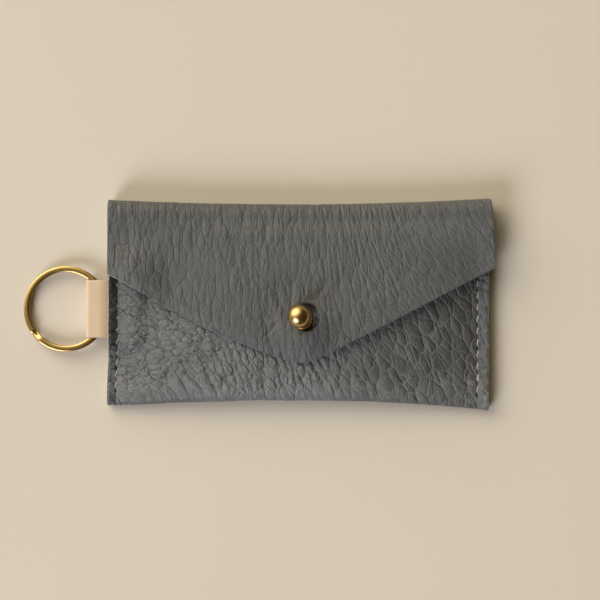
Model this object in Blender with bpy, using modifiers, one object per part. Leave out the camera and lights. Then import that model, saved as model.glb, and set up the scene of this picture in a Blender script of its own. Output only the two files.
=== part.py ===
"""A flat leather card holder with a pointed flap, a brass ball stud and a split ring on a leather tab.

It lies on its back. +X runs along the width, away from the ring, +Y runs towards the top fold, and +Z
comes up out of the front. The origin is on the resting face, under the middle of the body. One cut of
hide makes the back, the bottom fold, the front, the top fold and the flap, and it is parted here at
its fold lines. All lengths are in metres.
"""

import math

import bmesh
import bpy
import numpy as np
from mathutils import Matrix, Vector

# Hide
BODY_WIDTH = 0.1104
BODY_HEIGHT = 0.0568
LEATHER = 0.0014
PANEL_GAP = 0.0003
TOP_FOLD_RADIUS = 0.0045
TOP_FOLD_FLAT = 0.0003
TOP_RISE_LEFT = 0.0013
TOP_RISE_RIGHT = 0.0017
BOTTOM_DROP_LEFT = 0.0017
BOTTOM_DROP_RIGHT = 0.0029
BOW_POWER = 2.0

# Puffed pocket between the two panels
PUFF = 0.0054
PUFF_POWER = 3.0
BOTTOM_PUFF_SHARE = 0.5
MOUTH_PUFF_SHARE = 0.9
MOUTH_SETBACK = 0.0046

# Side seams
SEAM_LEFT_MARGIN = 0.0024
SEAM_RIGHT_MARGIN = 0.0033
SEAM_GAP = 0.0003
MARGIN_FLARE = 0.0008
SEAM_HOLE_RADIUS = 0.0006
SEAM_END = 0.0012
LEFT_SEAM_START = 0.0027
LEFT_HOLE_PITCH = 0.00326
RIGHT_SEAM_START = 0.0013
RIGHT_HOLE_PITCH = 0.00342
THREAD_RADIUS = 0.00021
STRAND_OFFSET = 0.00027
THREAD_SEAT = 0.00016
GROOVE_DEPTH = 0.0007
GROOVE_WIDTH = 0.0014

# Flap
FLAP_CLEARANCE = 0.0003
FLAP_LIFT_LEFT = 0.0001
FLAP_LIFT_RIGHT = 0.0008
FLAP_LEFT_DROP = 0.0156
FLAP_RIGHT_DROP = 0.0136
FLAP_TIP_X = 0.0004
FLAP_TIP_DROP = 0.0431
FLAP_TIP_ROUND = 0.0041
FLAP_LEFT_BELLY = 0.0016
FLAP_ROOT_OVERHANG = 0.0008
FLAP_CORNER_OVERHANG = 0.0016
FLAP_SETTLE_Y = 0.0050
FLAP_TENT = 0.0140

# Ball stud
STUD_X = 0.0010
STUD_DROP = 0.0290
STUD_LEAN_DEG = 15.0
STUD_LEAN_HEADING_DEG = 122.0
BALL_RADIUS = 0.0034
NECK_RADIUS = 0.0017
NECK_LENGTH = 0.0022
FLANGE_RADIUS = 0.0034
FLANGE_THICKNESS = 0.0009
FLANGE_SEAT = 0.0006
STUD_DIP = 0.0010
STUD_DIP_REACH = 0.0080
STUD_TIP_REACH = 0.0070
STUD_SHANK_RADIUS = 0.0013
STUD_SHANK_CLEARANCE = 0.0003
STUD_SHANK_GRIP = 0.0022
SCREW_HEAD_RADIUS = 0.0038
SCREW_HEAD_THICKNESS = 0.0011
SCREW_SEAT = 0.0003
SCREW_SLOT_WIDTH = 0.0010
SCREW_SLOT_DEPTH = 0.0005
FLAP_HOLE_RADIUS = 0.0043
FLAP_HOLE_SHIFT_X = -0.0004
FLAP_HOLE_SHIFT_Y = 0.0003

# Key tab and split ring
TAB_LEATHER = 0.0008
TAB_WIDTH = 0.0166
TAB_Y = -0.0019
TAB_FIT = 0.00015
TAB_TAIL_LENGTH = 0.0056
TAB_FOLD_ROUND = 0.0007
TAB_ROOT_GAP = 0.0003
TAB_EASE = 0.0003
TAB_FALL = 0.0055
TAIL_FALL = 0.0075
RING_RADIUS = 0.01245
RING_WIRE_WIDTH = 0.00185
RING_WIRE_THICKNESS = 0.0007
RING_COIL_GAP = 0.00045
RING_STEP_DEG = 24.0
RING_STEP_HEADING_DEG = 214.0
RING_CLEARANCE = 0.00015
RING_FIT = 0.00012
RING_BEND_INSET = 0.0011

# Shared by every cut, and by every slope that is measured
OVERRUN = 0.0010
SLOPE_STEP = 0.0001

# Counts of cells, sides and points
FRONT_COLUMNS = 26
FRONT_ROWS = 18
BACK_COLUMNS = 12
FOLD_ROWS = 7
FLAP_COLUMNS = 28
FLAP_ROWS = 14
HOLE_SIDES = 8
TURN_STEPS = 22
BALL_POINTS = 9
RING_POINTS_PER_TURN = 24
RING_STEP_POINTS = 6
CORNER_POINTS = 4

# Places that follow from the sizes above
HALF_WIDTH = BODY_WIDTH / 2
HALF_HEIGHT = BODY_HEIGHT / 2
SEAM_LEFT_X = SEAM_LEFT_MARGIN - HALF_WIDTH
SEAM_RIGHT_X = HALF_WIDTH - SEAM_RIGHT_MARGIN
HINGE_Y = HALF_HEIGHT - TOP_FOLD_RADIUS - TOP_FOLD_FLAT
HINGE_Z = TOP_FOLD_RADIUS
MOUTH_Y = HINGE_Y - MOUTH_SETBACK
STUD_Y = HINGE_Y - STUD_DROP
FLAP_LEFT_CORNER_Y = HINGE_Y - FLAP_LEFT_DROP
FLAP_RIGHT_CORNER_Y = HINGE_Y - FLAP_RIGHT_DROP
FLAP_TIP_Y = HINGE_Y - FLAP_TIP_DROP
TAIL_STACK = 2 * TAB_LEATHER + 3 * TAB_FIT
RING_HALF = RING_WIRE_THICKNESS + RING_COIL_GAP / 2
RING_SEAM_Z = LEATHER + TAB_FIT + TAB_LEATHER + RING_FIT + RING_HALF
RING_TILT = math.asin((RING_SEAM_Z - RING_HALF) / (2 * RING_RADIUS))
RING_X = -HALF_WIDTH - RING_CLEARANCE - RING_RADIUS
RING_Z = RING_HALF + RING_RADIUS * math.sin(RING_TILT)
TAB_LAYER_OFFSET = RING_HALF + RING_FIT + TAB_LEATHER / 2
TAB_ROOT_X = -HALF_WIDTH - TAB_ROOT_GAP
LOWER_TAIL_Z = LEATHER + TAB_FIT + TAB_LEATHER / 2
UPPER_TAIL_Z = LOWER_TAIL_Z + TAB_LEATHER + TAB_FIT
TAIL_KINK_X = SEAM_LEFT_X - (LEATHER + TAB_LEATHER) / 4 - TAB_FIT / 2
TAIL_END_X = TAB_TAIL_LENGTH - HALF_WIDTH
TAIL_SLOPE = (RING_SEAM_Z + TAB_LAYER_OFFSET - UPPER_TAIL_Z) / (TAIL_KINK_X - TAB_ROOT_X)
STUD_TIP_SLOPE = math.tan(math.radians(STUD_LEAN_DEG))


def clear_scene():
    """Remove whatever the file holds, so that only this model is left."""
    for old in list(bpy.data.objects):
        bpy.data.objects.remove(old, do_unlink=True)
    for old in list(bpy.data.collections):
        bpy.data.collections.remove(old)


def new_collection(name):
    collection = bpy.data.collections.new(name)
    bpy.context.scene.collection.children.link(collection)
    return collection


def put_in(collection, obj):
    """Move an object out of every collection that holds it, into this one."""
    for holder in list(obj.users_collection):
        holder.objects.unlink(obj)
    collection.objects.link(obj)


def material(name, colour, roughness, metallic):
    finish = bpy.data.materials.new(name)
    finish.use_nodes = True
    shader = finish.node_tree.nodes["Principled BSDF"]
    shader.inputs["Base Color"].default_value = (*colour, 1)
    shader.inputs["Roughness"].default_value = roughness
    shader.inputs["Metallic"].default_value = metallic
    return finish


def hide_finish(name):
    return material(name, (0.118, 0.118, 0.110), 0.62, 0)


def tab_finish(name):
    return material(name, (0.62, 0.44, 0.29), 0.58, 0)


def brass_finish(name):
    return material(name, (0.68, 0.46, 0.17), 0.18, 1)


def thread_finish(name):
    return material(name, (0.62, 0.55, 0.45), 0.75, 0)


def smooth(share):
    """0 below 0, 1 above 1, and an even S between them."""
    share = np.clip(share, 0, 1)
    return share * share * (3 - 2 * share)


def bow(x, left, right):
    """How far an edge stands out from its level at mid width, growing towards each corner."""
    return np.where(x < 0, left, right) * (np.abs(x) / HALF_WIDTH) ** BOW_POWER


def top_edge(x):
    return HALF_HEIGHT + bow(x, TOP_RISE_LEFT, TOP_RISE_RIGHT)


def bottom_edge(x):
    return -HALF_HEIGHT - bow(x, BOTTOM_DROP_LEFT, BOTTOM_DROP_RIGHT)


def share_across(x):
    """0 at mid width, 1 at and outside the stitch lines."""
    middle = (SEAM_LEFT_X + SEAM_RIGHT_X) / 2
    return np.clip(np.abs(x - middle) / (SEAM_RIGHT_X - middle), 0, 1)


def puff(x, y):
    """Height of the air between the panels: highest in the middle, less at the fold and at the mouth."""
    fullness = 1 - share_across(x) ** PUFF_POWER
    below = 1 - (1 - BOTTOM_PUFF_SHARE) * (y / HALF_HEIGHT) ** 2
    above = 1 - (1 - MOUTH_PUFF_SHARE) * (y / MOUTH_Y) ** 2
    return PUFF * fullness * np.where(y < 0, below, above)


def tab_zone(y, fall):
    """1 beside the key tab, easing to 0 over the given fall above and below it."""
    return 1 - smooth((np.abs(y - TAB_Y) - TAB_WIDTH / 2 - TAB_EASE) / fall)


def tail_cover(x, fall):
    """1 over the sewn tails of the tab, easing to 0 over the given fall past their ends."""
    return 1 - smooth((x - TAIL_END_X) / fall)


def margin_flare(x, y):
    """How far a seam margin stands up outside its stitch line, most where the tab runs out."""
    left = np.clip((SEAM_LEFT_X - x) / SEAM_LEFT_MARGIN, 0, 1)
    right = np.clip((x - SEAM_RIGHT_X) / SEAM_RIGHT_MARGIN, 0, 1)
    zone = tab_zone(y, TAB_FALL)
    beside_tab = TAIL_SLOPE * SEAM_LEFT_MARGIN
    return right * MARGIN_FLARE + left * (MARGIN_FLARE + (beside_tab - MARGIN_FLARE) * zone)


def stud_pull(x, y):
    """The hide's dip under the stud, tipped the way the stud leans."""
    heading = math.radians(STUD_LEAN_HEADING_DEG)
    away = (x - STUD_X) * math.cos(heading) + (y - STUD_Y) * math.sin(heading)
    distance = np.hypot(x - STUD_X, y - STUD_Y)
    dip = STUD_DIP * np.exp(-((distance / STUD_DIP_REACH) ** 2))
    return dip + STUD_TIP_SLOPE * away * np.exp(-((distance / STUD_TIP_REACH) ** 2))


def pocket_gap(x, y):
    """Height between the inner faces of the back and front panels."""
    tails = TAIL_STACK - SEAM_GAP
    return (
        SEAM_GAP
        + puff(x, y)
        + tails * tab_zone(y, TAB_FALL) * tail_cover(x, TAIL_FALL)
        + margin_flare(x, y)
        - stud_pull(x, y)
    )


def front_middle(x, y):
    """Height of the front panel's middle surface."""
    return LEATHER + pocket_gap(x, y) + LEATHER / 2


def slant(height, x, y):
    """How much longer a vertical distance is than the one square to the surface."""
    along_x = (height(x + SLOPE_STEP, y) - height(x - SLOPE_STEP, y)) / (2 * SLOPE_STEP)
    along_y = (height(x, y + SLOPE_STEP) - height(x, y - SLOPE_STEP)) / (2 * SLOPE_STEP)
    return np.sqrt(1 + along_x**2 + along_y**2)


def above_front(x, y, clearance):
    """Height of a point that stands this far off the front panel's outer face."""
    return front_middle(x, y) + (LEATHER / 2 + clearance) * slant(front_middle, x, y)


def flap_bed(x, y):
    """The front's height without the valleys at its seams: the surface that the flap drapes over."""
    tails = TAIL_STACK - SEAM_GAP + TAIL_SLOPE * SEAM_LEFT_MARGIN
    return (
        2 * LEATHER
        + SEAM_GAP
        + puff(x, y)
        + MARGIN_FLARE * share_across(x) ** 2
        + tails * tab_zone(y, FLAP_TENT) * tail_cover(x, FLAP_TENT)
        - stud_pull(x, y)
    )


def flap_bottom(x, y):
    """The flap's under side: over its bed, and led up or down into the top fold."""
    side = (x / HALF_WIDTH + 1) / 2
    lift = FLAP_CLEARANCE + FLAP_LIFT_LEFT + (FLAP_LIFT_RIGHT - FLAP_LIFT_LEFT) * side**2
    to_fold = 2 * TOP_FOLD_RADIUS - LEATHER - flap_bed(x, HINGE_Y) - lift
    steep = smooth((y - MOUTH_Y) / (HINGE_Y - MOUTH_Y))
    gentle = smooth((y - FLAP_SETTLE_Y) / (HINGE_Y - FLAP_SETTLE_Y))
    return flap_bed(x, y) + lift + to_fold * np.where(to_fold < 0, steep, gentle)


def flap_middle(x, y):
    """Height of the flap's middle surface, with room for its thickness where it slopes."""
    return flap_bottom(x, y) + LEATHER / 2 * slant(flap_bottom, x, y)


def flap_lower_edge(x):
    """Two straight cuts that meet in a rounded tip, the left one with a slight belly."""
    left_slope = (FLAP_LEFT_CORNER_Y - FLAP_TIP_Y) / (FLAP_TIP_X + HALF_WIDTH)
    right_x = HALF_WIDTH + FLAP_CORNER_OVERHANG
    right_slope = (FLAP_RIGHT_CORNER_Y - FLAP_TIP_Y) / (right_x - FLAP_TIP_X)
    off_tip = x - FLAP_TIP_X
    cut = (right_slope - left_slope) / 2 * off_tip
    cut += (right_slope + left_slope) / 2 * np.hypot(off_tip, FLAP_TIP_ROUND)
    along = np.clip(-off_tip / (FLAP_TIP_X + HALF_WIDTH), 0, 1)
    return FLAP_TIP_Y + cut - FLAP_LEFT_BELLY * np.sin(math.pi * along) ** 2


def flap_right_edge(share):
    return HALF_WIDTH + FLAP_ROOT_OVERHANG + (FLAP_CORNER_OVERHANG - FLAP_ROOT_OVERHANG) * share


def sheet(name, points, thickness, finish, collection, origin=(0, 0, 0)):
    """A flexible sheet: a grid laid on rows and columns of points, made solid to both sides of them."""
    rows, columns = points.shape[:2]
    bpy.ops.mesh.primitive_grid_add(x_subdivisions=columns - 1, y_subdivisions=rows - 1, size=1)
    obj = bpy.context.object
    obj.name = obj.data.name = name
    unit = np.empty(len(obj.data.vertices) * 3)
    obj.data.vertices.foreach_get("co", unit)
    unit = unit.reshape(-1, 3) + 1 / 2
    column = np.rint(unit[:, 0] * (columns - 1)).astype(int)
    row = np.rint(unit[:, 1] * (rows - 1)).astype(int)
    obj.data.vertices.foreach_set("co", (points[row, column] - np.array(origin)).ravel())
    obj.location = origin
    solid = obj.modifiers.new("thickness", "SOLIDIFY")
    solid.thickness = thickness
    solid.offset = 0
    obj.data.shade_smooth()
    obj.data.set_sharp_from_angle(angle=math.radians(50))
    obj.data.materials.append(finish)
    put_in(collection, obj)
    return obj


def panel_columns():
    """Places across the width: closer at the margins, even between the stitch lines."""
    left = np.linspace(-HALF_WIDTH, SEAM_LEFT_X, 3)
    right = np.linspace(SEAM_RIGHT_X, HALF_WIDTH, 3)
    between = np.linspace(SEAM_LEFT_X, SEAM_RIGHT_X, FRONT_COLUMNS + 1)
    return np.concatenate([left[:-1], between, right[1:]])


def fold_radius(x):
    """Outer radius of the bottom fold, which closes onto the height of the front panel."""
    return LEATHER + pocket_gap(x, bottom_edge(x) + LEATHER) / 2


def fold_centre(x):
    return bottom_edge(x) + fold_radius(x)


def grid(x, y, z):
    return np.stack(np.broadcast_arrays(x, y, z), axis=-1)


def make_back_panel(parts):
    x = np.linspace(-HALF_WIDTH, HALF_WIDTH, BACK_COLUMNS + 1)[None, :]
    share = np.linspace(0, 1, 3)[:, None]
    low = fold_centre(x) + PANEL_GAP / 2
    high = HINGE_Y - PANEL_GAP / 2
    return sheet(
        "back_panel",
        grid(x, low + (high - low) * share, LEATHER / 2),
        LEATHER,
        hide_finish("back_leather"),
        parts,
    )


def make_bottom_fold(parts):
    x = panel_columns()[None, :]
    angle = np.linspace(-math.pi / 2, math.pi / 2, FOLD_ROWS)[:, None]
    radius = fold_radius(x) - LEATHER / 2
    y = fold_centre(x) - PANEL_GAP / 2 - radius * np.cos(angle)
    z = fold_radius(x) + radius * np.sin(angle)
    return sheet("bottom_fold", grid(x, y, z), LEATHER, hide_finish("bottom_leather"), parts)


def make_front_panel(parts):
    x = panel_columns()[None, :]
    share = np.linspace(0, 1, FRONT_ROWS + 1)[:, None]
    low = fold_centre(x) + PANEL_GAP / 2
    y = low + (MOUTH_Y - low) * share
    level = 2 * fold_radius(x) - LEATHER / 2
    z = front_middle(x, y) + (level - front_middle(x, low)) * (1 - smooth(share * FRONT_ROWS / 2))
    return sheet("front_panel", grid(x, y, z), LEATHER, hide_finish("front_leather"), parts)


def make_top_fold(parts):
    share = np.linspace(0, 1, FLAP_COLUMNS // 2 + 1)[None, :]
    angle = np.linspace(-math.pi / 2, math.pi / 2, FOLD_ROWS + 2)[:, None]
    turn = angle / math.pi + 1 / 2
    left = -HALF_WIDTH
    x = left + (HALF_WIDTH + FLAP_ROOT_OVERHANG * turn - left) * share
    centre = top_edge(x) - TOP_FOLD_RADIUS
    radius = TOP_FOLD_RADIUS - LEATHER / 2
    y = centre + radius * np.cos(angle)
    z = HINGE_Z + radius * np.sin(angle)
    start = HINGE_Y + PANEL_GAP / 2
    lower = grid(x[:1], start, LEATHER / 2)
    upper = grid(x[-1:], start, 2 * TOP_FOLD_RADIUS - LEATHER / 2)
    points = np.concatenate([lower, grid(x, y, z), upper])
    return sheet("top_fold", points, LEATHER, hide_finish("fold_leather"), parts)


def make_flap(parts):
    """The flap from the fold line to its cut edge. Its origin is on the hinge line."""
    across = np.linspace(0, 1, FLAP_COLUMNS + 1)[None, :]
    along = np.linspace(0, 1, FLAP_ROWS + 1)[:, None]
    x = -HALF_WIDTH + (flap_right_edge(along) + HALF_WIDTH) * across
    root = HINGE_Y - PANEL_GAP / 2
    y = root + (flap_lower_edge(x) - root) * along
    return sheet(
        "flap",
        grid(x, y, flap_middle(x, y)),
        LEATHER,
        hide_finish("flap_leather"),
        parts,
        (0, HINGE_Y, HINGE_Z),
    )


def cutter(name, fill, cutters):
    """A helper solid that is only taken away from others."""
    mesh = bpy.data.meshes.new(name)
    bm = bmesh.new()
    fill(bm)
    bm.to_mesh(mesh)
    bm.free()
    obj = bpy.data.objects.new(name, mesh)
    obj.hide_render = True
    obj.display_type = "WIRE"
    cutters.objects.link(obj)
    return obj


def cut(obj, tool):
    boolean = obj.modifiers.new(tool.name, "BOOLEAN")
    boolean.operation = "DIFFERENCE"
    boolean.solver = "EXACT"
    boolean.object = tool


def seam_holes_y(start, pitch):
    """Places of a seam's holes, from just above the bottom fold to just below the mouth."""
    first = start - HALF_HEIGHT
    count = int((MOUTH_Y - SEAM_END - first) / pitch) + 1
    return first + pitch * np.arange(count)


def seam_reach():
    """Height of a cutter that runs through every layer of a seam."""
    return 4 * LEATHER + TAIL_STACK + 2 * OVERRUN


def add_seam_holes(bm, x, holes_y):
    for y in holes_y:
        bmesh.ops.create_cone(
            bm,
            cap_ends=True,
            segments=HOLE_SIDES,
            radius1=SEAM_HOLE_RADIUS,
            radius2=SEAM_HOLE_RADIUS,
            depth=seam_reach(),
            matrix=Matrix.Translation((x, y, seam_reach() / 2 - OVERRUN)),
        )


def add_groove(bm, x, holes_y):
    """The channel on the back that takes the thread, so that it doesn't stand below the resting face."""
    length = holes_y[-1] - holes_y[0] + 2 * (SEAM_HOLE_RADIUS + 2 * THREAD_RADIUS)
    size = (GROOVE_WIDTH, length, 2 * GROOVE_DEPTH)
    place = Matrix.Translation((x, (holes_y[0] + holes_y[-1]) / 2, 0))
    bmesh.ops.create_cube(bm, size=1, matrix=place @ Matrix.Diagonal((*size, 1)))


def stitch_points(x, holes_y):
    """One thread sewn up the seam and down again, so that each gap shows a slanted stitch on both faces.

    The first pass lies on the front of the even gaps and the second on the front of the odd ones. In
    each hole the two strands stand side by side.
    """
    last = len(holes_y) - 1
    under = GROOVE_DEPTH - THREAD_RADIUS - THREAD_SEAT
    corner = SEAM_HOLE_RADIUS / 2

    def side(hole, front_gap):
        return x + (STRAND_OFFSET if hole == front_gap else -STRAND_OFFSET)

    def on_front(px, y):
        return (px, y, float(above_front(px, y, THREAD_RADIUS + THREAD_SEAT)))

    def front_stitch(gap, upward):
        low = side(gap, gap)
        high = side(gap + 1, gap)
        low_y, high_y = holes_y[gap], holes_y[gap + 1]
        run = [
            (low, low_y, on_front(low, low_y)[2] - corner),
            on_front(low, low_y + corner),
            on_front(x, (low_y + high_y) / 2),
            on_front(high, high_y - corner),
            (high, high_y, on_front(high, high_y)[2] - corner),
        ]
        return run if upward else run[::-1]

    def back_stitch(gap, upward):
        low = x - STRAND_OFFSET
        high = x + STRAND_OFFSET if gap + 1 < last else x - STRAND_OFFSET
        low_y, high_y = holes_y[gap], holes_y[gap + 1]
        run = [
            (low, low_y, under + corner),
            (low, low_y + corner, under),
            (high, high_y - corner, under),
            (high, high_y, under + corner),
        ]
        return run if upward else run[::-1]

    points = [(side(0, 0), holes_y[0], under + corner)]
    for gap in range(last):
        points += front_stitch(gap, True) if gap % 2 == 0 else back_stitch(gap, True)
    for gap in reversed(range(last)):
        points += back_stitch(gap, False) if gap % 2 == 0 else front_stitch(gap, False)
    return points


def tube(name, points, radius, finish, collection):
    """A round wire along a line of points."""
    data = bpy.data.curves.new(name, "CURVE")
    data.dimensions = "3D"
    data.bevel_depth = radius
    data.bevel_resolution = 1
    data.use_fill_caps = True
    spline = data.splines.new("POLY")
    spline.points.add(len(points) - 1)
    for point, place in zip(spline.points, points):
        point.co = (*place, 1)
    data.materials.append(finish)
    obj = bpy.data.objects.new(name, data)
    collection.objects.link(obj)
    return obj


def make_seam(parts, cutters, side, x, holes_y, layers):
    """Pierce the layers of one side seam and sew them with their thread."""
    holes = cutter(f"{side}_seam_holes", lambda bm: add_seam_holes(bm, x, holes_y), cutters)
    groove = cutter(f"{side}_seam_groove", lambda bm: add_groove(bm, x, holes_y), cutters)
    for layer in layers:
        cut(layer, holes)
    cut(layers[0], groove)
    finish = thread_finish(f"{side}_thread")
    return tube(f"{side}_seam_thread", stitch_points(x, holes_y), THREAD_RADIUS, finish, parts)


def turned(name, profile, finish, collection, matrix):
    """A turned piece: its profile, from the top down its outer side, swept once round."""
    mesh = bpy.data.meshes.new(name)
    mesh.from_pydata(
        [(radius, 0, height) for radius, height in profile],
        [(i, i + 1) for i in range(len(profile) - 1)],
        [],
    )
    obj = bpy.data.objects.new(name, mesh)
    sweep = obj.modifiers.new("turning", "SCREW")
    sweep.steps = sweep.render_steps = TURN_STEPS
    sweep.use_merge_vertices = True
    sweep.merge_threshold = 1e-6
    sweep.use_smooth_shade = True
    obj.matrix_world = matrix
    mesh.materials.append(finish)
    collection.objects.link(obj)
    return obj


def stud_matrix():
    """The stud's own frame: its origin on the front panel's outer face and +Z along its leaning axis."""
    z = float(front_middle(STUD_X, STUD_Y)) + LEATHER / 2
    heading = math.radians(STUD_LEAN_HEADING_DEG)
    lean_axis = Vector((-math.sin(heading), math.cos(heading), 0))
    lean = Matrix.Rotation(math.radians(STUD_LEAN_DEG), 4, lean_axis)
    return Matrix.Translation((STUD_X, STUD_Y, z)) @ lean


def make_stud_head(parts):
    """Ball, neck and flange in one, bored from below for the screw."""
    neck_angle = math.asin(NECK_RADIUS / BALL_RADIUS)
    flange_top = FLANGE_SEAT + FLANGE_THICKNESS
    ball_z = flange_top + NECK_LENGTH + BALL_RADIUS * math.cos(neck_angle)
    bore = STUD_SHANK_RADIUS + STUD_SHANK_CLEARANCE / 2
    bore_top = FLANGE_SEAT + STUD_SHANK_GRIP + STUD_SHANK_CLEARANCE
    rounding = FLANGE_THICKNESS / 4
    profile = [
        (BALL_RADIUS * math.sin(angle), ball_z + BALL_RADIUS * math.cos(angle))
        for angle in np.linspace(0, math.pi - neck_angle, BALL_POINTS)
    ]
    profile += [
        (NECK_RADIUS, flange_top),
        (FLANGE_RADIUS - rounding, flange_top),
        (FLANGE_RADIUS, flange_top - rounding),
        (FLANGE_RADIUS, FLANGE_SEAT),
        (bore, FLANGE_SEAT),
        (bore, bore_top),
        (0, bore_top),
    ]
    return turned("stud_head", profile, brass_finish("stud_brass"), parts, stud_matrix())


def make_stud_screw(parts, cutters):
    """The slotted screw inside the pocket, whose shank runs up through the panel into the head."""
    head_top = -LEATHER - SCREW_SEAT
    head_bottom = head_top - SCREW_HEAD_THICKNESS
    rounding = SCREW_HEAD_THICKNESS / 4
    profile = [
        (0, FLANGE_SEAT + STUD_SHANK_GRIP),
        (STUD_SHANK_RADIUS, FLANGE_SEAT + STUD_SHANK_GRIP),
        (STUD_SHANK_RADIUS, head_top),
        (SCREW_HEAD_RADIUS, head_top),
        (SCREW_HEAD_RADIUS, head_bottom + rounding),
        (SCREW_HEAD_RADIUS - rounding, head_bottom),
        (0, head_bottom),
    ]
    screw = turned("stud_screw", profile, brass_finish("screw_brass"), parts, stud_matrix())

    def add_slot(bm):
        size = (2 * (SCREW_HEAD_RADIUS + OVERRUN), SCREW_SLOT_WIDTH, 2 * SCREW_SLOT_DEPTH)
        place = stud_matrix() @ Matrix.Translation((0, 0, head_bottom))
        bmesh.ops.create_cube(bm, size=1, matrix=place @ Matrix.Diagonal((*size, 1)))

    cut(screw, cutter("screw_slot", add_slot, cutters))
    return screw


def add_pin(bm, radius, matrix, half_length):
    bmesh.ops.create_cone(
        bm,
        cap_ends=True,
        segments=TURN_STEPS,
        radius1=radius,
        radius2=radius,
        depth=2 * half_length,
        matrix=matrix,
    )


def make_stud(parts, cutters, front_panel, flap):
    """The two brass pieces, with the hole for the screw and the flap's hole for the head."""
    shank_hole = STUD_SHANK_RADIUS + STUD_SHANK_CLEARANCE
    reach = 2 * LEATHER + OVERRUN
    cut(
        front_panel,
        cutter("shank_hole", lambda bm: add_pin(bm, shank_hole, stud_matrix(), reach), cutters),
    )
    x = STUD_X + FLAP_HOLE_SHIFT_X
    y = STUD_Y + FLAP_HOLE_SHIFT_Y
    place = Matrix.Translation((x, y, float(flap_middle(x, y))))
    cut(
        flap,
        cutter("head_hole", lambda bm: add_pin(bm, FLAP_HOLE_RADIUS, place, reach), cutters),
    )
    make_stud_head(parts)
    make_stud_screw(parts, cutters)


def tab_rows(path):
    """Rows of points across the tab's width, one row for each place on its path."""
    y = np.array([TAB_Y - TAB_WIDTH / 2, TAB_Y + TAB_WIDTH / 2])[None, :]
    path = np.array(path)
    return grid(path[:, :1], y, path[:, 1:])


def make_tails(parts):
    """The two sewn ends of the tab, inside the left seam. The upper one climbs with the margin."""
    kink_to_edge = TAIL_KINK_X + HALF_WIDTH
    edge_z = UPPER_TAIL_Z + TAIL_SLOPE * kink_to_edge
    upper = [(TAIL_END_X, UPPER_TAIL_Z), (TAIL_KINK_X, UPPER_TAIL_Z), (-HALF_WIDTH, edge_z)]
    lower = [(TAIL_END_X, LOWER_TAIL_Z), (TAIL_KINK_X, LOWER_TAIL_Z), (-HALF_WIDTH, LOWER_TAIL_Z)]
    return [
        sheet(
            f"key_tab_{level}_tail",
            tab_rows(path),
            TAB_LEATHER,
            tab_finish(f"{level}_tail_leather"),
            parts,
        )
        for level, path in (("upper", upper), ("lower", lower))
    ]


def ring_plane(along, off):
    """A point of the ring's tilted plane: along it from the ring's middle towards the body, and off it."""
    x = RING_X + along * math.cos(RING_TILT) - off * math.sin(RING_TILT)
    z = RING_Z + along * math.sin(RING_TILT) + off * math.cos(RING_TILT)
    return x, z


def tab_fold_distance():
    """Where the fold's middle surface lies, just inside the wire at the two edges of the tab."""
    inner = RING_RADIUS - RING_WIRE_WIDTH
    return math.sqrt(inner**2 - (TAB_WIDTH / 2) ** 2) - RING_FIT - TAB_LEATHER / 2


def bend_axis():
    """The line that the tab bends about, in the ring's plane just outside the seam."""
    return ring_plane(RING_RADIUS - RING_BEND_INSET, 0)


def make_loop(parts):
    """The folded end of the tab, which holds the ring. Its origin is on the line that it bends about."""
    fold = tab_fold_distance()
    root = (TAB_ROOT_X - RING_X) / math.cos(RING_TILT)
    turns = np.linspace(0, math.pi / 2, CORNER_POINTS)
    level = TAB_LAYER_OFFSET - TAB_FOLD_ROUND
    centre = fold + TAB_FOLD_ROUND
    upper = [
        (centre - TAB_FOLD_ROUND * math.sin(turn), level + TAB_FOLD_ROUND * math.cos(turn))
        for turn in turns
    ]
    lower = [(along, -off) for along, off in reversed(upper)]
    path = [(root, TAB_LAYER_OFFSET), *upper, *lower, (root, -TAB_LAYER_OFFSET)]
    x, z = bend_axis()
    points = tab_rows([ring_plane(along, off) for along, off in path])
    finish = tab_finish("loop_leather")
    return sheet("key_tab_loop", points, TAB_LEATHER, finish, parts, (x, TAB_Y, z))


def ring_turns():
    """How far round each point of the wire lies: along the lower turn, up the step and along the upper."""
    low_end = 2 * math.pi - math.radians(RING_STEP_DEG)
    low = np.linspace(0, low_end, RING_POINTS_PER_TURN)
    step = np.linspace(low_end, 2 * math.pi, RING_STEP_POINTS)[1:-1]
    return np.concatenate([low, step, low + 2 * math.pi])


def ring_points():
    """The wire's middle line: a lower turn, a step up over RING_STEP_DEG, and an upper turn."""
    step = math.radians(RING_STEP_DEG)
    turn = ring_turns()
    climb = smooth((turn - (2 * math.pi - step)) / step)
    radius = RING_RADIUS - RING_WIRE_WIDTH / 2
    pitch = RING_WIRE_THICKNESS + RING_COIL_GAP
    angle = turn + math.radians(RING_STEP_HEADING_DEG)
    return np.stack([radius * np.cos(angle), radius * np.sin(angle), pitch * (climb - 1 / 2)], axis=1)


def least_coil_gap(points):
    """The least free height between the wire at a point and one turn further on."""
    turn = ring_turns()
    below = turn + 2 * math.pi <= turn[-1]
    above = np.interp(turn[below] + 2 * math.pi, turn, points[:, 2])
    return (above - points[below, 2]).min() - RING_WIRE_THICKNESS


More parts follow.
